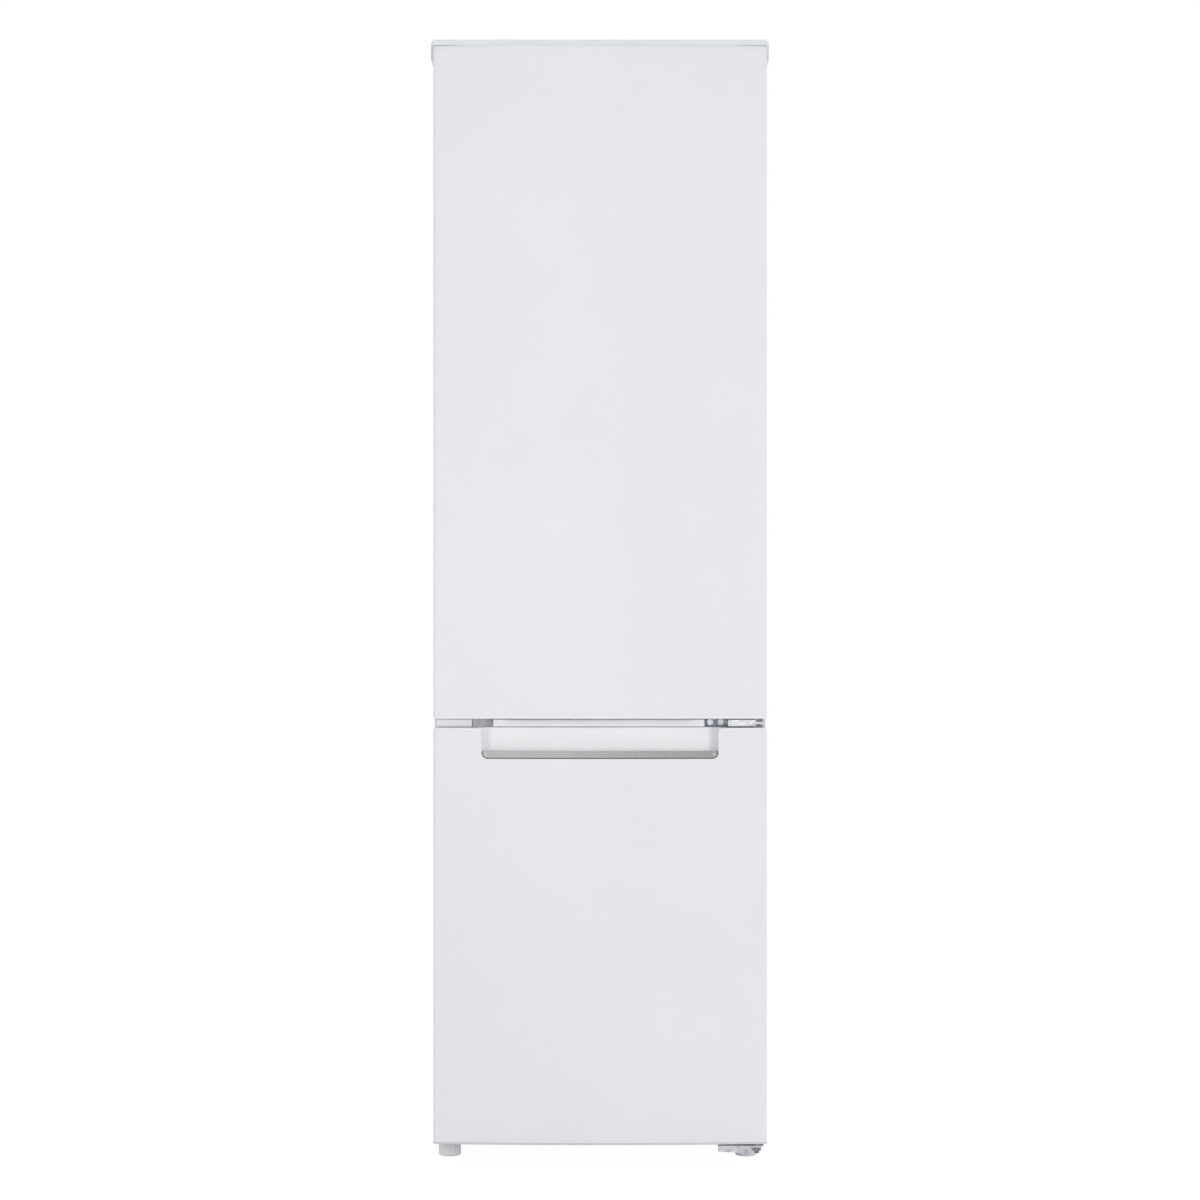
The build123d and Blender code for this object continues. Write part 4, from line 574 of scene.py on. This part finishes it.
# sloped gutter on the cold wall that leads the thaw water to the drain
gutter = {"wall": 204, "half": 190, "level": 968, "fall": 9,
          "profile": [(0, 8), (0, -9), (4, -13), (11, -13), (15, -9), (15, 2), (13.4, 3.4), (11.4, 2),
                      (11.4, -6.5), (9, -9), (5, -9), (3, -6.5), (3, 7), (1.5, 8)],
          "spout": [(0, 0), (4.2, 0), (4.2, -16), (3.4, -16), (3.4, -1), (0, -1)],
          "spoutOut": 6, "spoutDown": 9, "sides": 18}


def coldGutter(grid):
    s = gutter
    wall = s["wall"] + sink
    lowest = s["level"] - s["fall"]
    places = [(-s["half"], wall, s["level"]), (0, wall, lowest), (s["half"], wall, s["level"])]
    sweep(grid, s["profile"], [(place, (0, -1, 0), (0, 0, 1)) for place in places])
    turned(grid, s["spout"], (0, wall - s["spoutOut"], lowest - s["spoutDown"]), (0, 0, 1), s["sides"])


makePiece("coldWallGutter", "cabinet", "linerGloss", coldGutter)

# raised frame on the freezer door's inner panel
panelFrame = {"half": 172, "low": 128, "high": 588, "radius": 26, "width": 7, "rise": 1.4,
              "insets": (0, 16)}


def freezerFrame(grid):
    s = panelFrame
    face = boxOf("freezer_door_liner")[1].y
    for inset in s["insets"]:
        half = s["half"] - inset
        low, high = s["low"] + inset, s["high"] - inset
        stations = loopStations(-half, half, low, high, s["radius"], face, (0, 1, 0))
        sweep(grid, beadProfile(s["width"], s["rise"]), stations, True)


makePiece("freezerPanelFrame", "freezer_door", "linerGloss", freezerFrame)
print("liner details made")

# rear: pressed beads, flanged hexagon screws, mount nuts and the drain spout
rear = {"face": 250, "beads": (-130, 0, 130), "beadLow": 330, "beadHigh": 1712, "beadWidth": 16,
        "beadRise": 2.2}
rearScrew = {"x": 252, "levels": (316, 560, 804, 1048, 1292, 1536, 1764), "sides": 24,
             "flange": [(0, -sink), (5.6, -sink), (5.6, 0.5), (4.6, 1.1), (0, 1.1)],
             "head": [(0, 0.9), (4.1, 0.9), (4.1, 3.4), (3.6, 3.9), (2.4, 3.9), (2.1, 3.4), (0, 3.3)]}
mountNut = {"xs": (-18, 158), "ys": (109.5, 205.5), "level": 48, "sides": 26,
            "washer": [(3.8, 0), (9, 0), (9, 0.9), (8.4, 1.2), (3.8, 1.2)],
            "nut": [(4.2, 1.2), (6.3, 1.2), (6.6, 1.8), (6.6, 4.4), (6, 5.1), (4.2, 5.1)]}
drain = {"place": (30, 150, 270.2), "sides": 26,
         "profile": [(7, 0), (14, 0), (14, -2), (9.5, -3.5), (8.6, -38), (7, -38)]}
hexagon = 6


def panelBeads(grid):
    s = rear
    for x in s["beads"]:
        ends = [(x, s["face"], level) for level in (s["beadLow"], s["beadHigh"])]
        straightBead(grid, *ends, (1, 0, 0), (0, 1, 0), s["beadWidth"], s["beadRise"])


def panelScrews(grid):
    s = rearScrew
    for level in s["levels"]:
        for side in (-1, 1):
            centre = (side * s["x"], rear["face"], level)
            turned(grid, s["flange"], centre, (0, 1, 0), s["sides"])
            turned(grid, s["head"], centre, (0, 1, 0), hexagon)


def mountNuts(grid):
    s = mountNut
    for x in s["xs"]:
        for y in s["ys"]:
            turned(grid, s["washer"], (x, y, s["level"]), (0, 0, 1), s["sides"], True)
            turned(grid, s["nut"], (x, y, s["level"]), (0, 0, 1), hexagon, True)


def drainSpout(grid):
    turned(grid, drain["profile"], drain["place"], (0, 0, 1), drain["sides"], True)


# folded hems that close the gap between the back panel and the painted sides
hems = {"inner": 258.6, "outer": 265.6, "bayOuter": 262.2, "low": 270.2, "high": 1782.5,
        "bayFace": 65, "bayLow": 35.2, "rise": 1.1, "side": 0.7, "edge": 0.5}


def sideHems(grid):
    s = hems
    for side in (-1, 1):
        for width, start, end, up in (
            (s["outer"], (rear["face"], s["low"]), (rear["face"], s["high"]), (0, 1, 0)),
            (s["bayOuter"], (s["bayFace"], s["bayLow"]), (s["bayFace"], s["low"]), (0, 1, 0)),
            (s["bayOuter"], (s["bayFace"], s["low"]), (rear["face"], s["low"]), (0, 0, -1)),
        ):
            wide = width - s["inner"]
            profile = [(0, -sink), (wide, -sink), (wide, s["side"]), (wide - s["edge"], s["rise"]),
                       (s["edge"], s["rise"]), (0, s["side"])]
            sweep(grid, profile, [((side * s["inner"], y, z), (side, 0, 0), up) for y, z in (start, end)])


makePiece("sideHems", "cabinet", "sidePaint", sideHems)
makePiece("backPanelBeads", "cabinet", "zincPlate", panelBeads)
makePiece("backPanelScrews", "cabinet", "screwSteel", panelScrews)
makePiece("compressorNuts", "cabinet", "screwSteel", mountNuts)
makePiece("drainSpout", "cabinet", "whiteMoulding", drainSpout)

# ribs above and below the blanking cap, so that it fills the gap between the doors
capRib = {"length": 57, "capHalf": 5.5, "rise": 1.25, "setback": 2.2, "depth": 31.8, "edge": 0.4}


def blankRibs(grid):
    s = capRib
    low, high = boxOf("centre_blanks")
    middle = (low.z + high.z) / 2
    front = s["depth"] - s["edge"]
    profile = [(-sink, 0), (s["rise"], 0), (s["rise"], front), (s["rise"] - s["edge"], s["depth"]),
               (-sink, s["depth"])]
    root = low.y + s["setback"] + s["depth"]
    for side in (-1, 1):
        sweep(grid, profile, [((x, root, middle + side * s["capHalf"]), (0, 0, side), (0, -1, 0))
                              for x in (low.x, low.x + s["length"])])


makePiece("blankRibs", "cabinet", "whiteMoulding", blankRibs)

# small rings where the metal lip is pinned at its two ends
lipPin = {"x": 182, "level": 652.4, "sides": 20,
          "profile": [(1.1, -0.2), (2.3, -0.2), (2.3, 0.15), (1.9, 0.35), (1.5, 0.35), (1.1, 0.15)]}
# painted shadow: a dark bead in the narrow slot under the lip and round its ends, standing in for the slot's
# shade
lipSlot = {"half": 187.7, "low": 646.1, "high": 657.4, "radius": 8.7, "setback": 1.6, "steps": 8,
           "halfSteps": 8,
           "profile": [(-0.75, -0.6), (-0.75, 0.3), (-0.4, 0.6), (0.4, 0.6), (0.75, 0.3), (0.75, -0.6)]}
doorBow = {"front": -280, "radius": 3542.8}  # the doors' crowned front


def doorFront(x):
    return doorBow["front"] + doorBow["radius"] - math.sqrt(doorBow["radius"] ** 2 - x * x)


def lipPins(grid):
    s = lipPin
    for side in (-1, 1):
        x = side * s["x"]
        axis = (x / doorBow["radius"], -1, 0)
        turned(grid, s["profile"], (x, doorFront(x), s["level"]), axis, s["sides"], True)


# painted shadow: lays the dark bead along the slot under the lip
def lipSlotShadowBead(grid):
    s = lipSlot
    spots = [(-s["half"], s["high"], (-1, 0, 0))]
    for x, start in ((s["radius"] - s["half"], 180), (s["half"] - s["radius"], 270)):
        for k in range(s["steps"] + 1):
            a = math.radians(start + 90 * k / s["steps"])
            out = (math.cos(a), 0, math.sin(a))
            spots.append((x + s["radius"] * out[0], s["low"] + s["radius"] * (1 + out[2]), out))
        if start == 180:
            run = s["half"] - s["radius"]
            count = s["halfSteps"]
            spots += [(run * (k / count - 1), s["low"], (0, 0, -1)) for k in range(1, 2 * count)]
    spots.append((s["half"], s["high"], (1, 0, 0)))
    sweep(grid, s["profile"], [((x, doorFront(x) + s["setback"], z), out, (0, -1, 0)) for x, z, out in spots])


makePiece("lipPins", "freezer_door", "screwSteel", lipPins)
# the dark bead is painted shadow for the slot under the lip
makePiece("lipSlotShadowBead", "freezer_door", "paintedSlotShadow", lipSlotShadowBead)
print("rear and lip details made")

# floor and light
studio = {
    "floorSize": 24.0,
    "floorDrop": 0.0005,
    "floorTint": (0.86, 0.86, 0.87, 1),
    "floorRough": 0.9,
    "floorWhite": 0.93,  # how much of the floor is plain white to the camera
    "floorGlow": 1.04,  # makes up for the part of the floor that takes the shadow
    "ambient": 0.5,
    "lamps": {
        "frontPanel": {"at": (1.2, -7.0, 1.1), "aim": (0, 0, 0.85), "size": (4.6, 2.4), "power": 170},
        "leftPanel": {"at": (-0.9, -6.2, 1.15), "aim": (0, 0, 0.7), "size": (2.2, 2.6), "power": 22},
        "rearPanel": {"at": (1.2, 5.4, 1.5), "aim": (0, 0.2, 0.8), "size": (3.0, 2.4), "power": 95},
        "leftFill": {"at": (-4.2, 1.1, 1.3), "aim": (0, 0.2, 0.9), "size": (2.4, 2.4), "power": 38},
        "rightFill": {"at": (4.2, 1.1, 1.3), "aim": (0, 0.2, 0.9), "size": (2.4, 2.4), "power": 34},
        "topPanel": {"at": (0, 0.7, 5.2), "aim": (0, 0.2, 1.8), "size": (2.4, 2.0), "power": 34},
    },
    "mirrored": ["leftPanel"],  # lamps that show in shiny faces
}
floorMesh = bpy.data.meshes.new("studioFloor")
half = studio["floorSize"] / 2
floorCorners = [(-half, -half, 0), (half, -half, 0), (half, half, 0), (-half, half, 0)]
floorMesh.from_pydata(floorCorners, [], [(0, 1, 2, 3)])
floorPiece = bpy.data.objects.new("studioFloor", floorMesh)
scene.collection.objects.link(floorPiece)
floorPiece.location.z = -studio["floorDrop"]
floorPiece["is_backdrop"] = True


# what the camera, mirrors and glass see of the surroundings is white; the rest is the studio's own light
def seenRays(tree):
    rays = tree.nodes.new("ShaderNodeLightPath")
    total = rays.outputs["Is Camera Ray"]
    for name in ("Is Glossy Ray", "Is Transmission Ray"):
        add = tree.nodes.new("ShaderNodeMath")
        add.operation = "MAXIMUM"
        tree.links.new(total, add.inputs[0])
        tree.links.new(rays.outputs[name], add.inputs[1])
        total = add.outputs[0]
    return total


floorLook = bpy.data.materials.new("studioFloor")
floorLook.use_nodes = True
tree = floorLook.node_tree
shader = tree.nodes["Principled BSDF"]
shader.inputs["Base Color"].default_value = studio["floorTint"]
shader.inputs["Roughness"].default_value = studio["floorRough"]
white = tree.nodes.new("ShaderNodeEmission")
white.inputs["Strength"].default_value = studio["floorGlow"]
share = tree.nodes.new("ShaderNodeMath")
share.operation = "MULTIPLY"
share.inputs[1].default_value = studio["floorWhite"]
tree.links.new(seenRays(tree), share.inputs[0])
mixer = tree.nodes.new("ShaderNodeMixShader")
tree.links.new(share.outputs[0], mixer.inputs["Fac"])
tree.links.new(shader.outputs["BSDF"], mixer.inputs[1])
tree.links.new(white.outputs["Emission"], mixer.inputs[2])
tree.links.new(mixer.outputs["Shader"], tree.nodes["Material Output"].inputs["Surface"])
floorMesh.materials.append(floorLook)

world = bpy.data.worlds.new("studioWorld")
scene.world = world
world.use_nodes = True
tree = world.node_tree
backdrop = tree.nodes["Background"]
backdrop.inputs["Color"].default_value = (1, 1, 1, 1)
level = tree.nodes.new("ShaderNodeMapRange")
level.inputs["To Min"].default_value = studio["ambient"]
level.inputs["To Max"].default_value = 1.0
tree.links.new(seenRays(tree), level.inputs["Value"])
tree.links.new(level.outputs["Result"], backdrop.inputs["Strength"])

for name, s in studio["lamps"].items():
    lampData = bpy.data.lights.new(name, "AREA")
    lampData.shape = "RECTANGLE"
    lampData.size, lampData.size_y = s["size"]
    lampData.energy = s["power"]
    lamp = bpy.data.objects.new(name, lampData)
    lamp.location = s["at"]
    lamp.rotation_euler = (Vector(s["aim"]) - Vector(s["at"])).to_track_quat("-Z", "Y").to_euler()
    lamp.visible_camera = False
    lamp.visible_glossy = name in studio["mirrored"]
    scene.collection.objects.link(lamp)
print("floor and light set")

low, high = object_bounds()
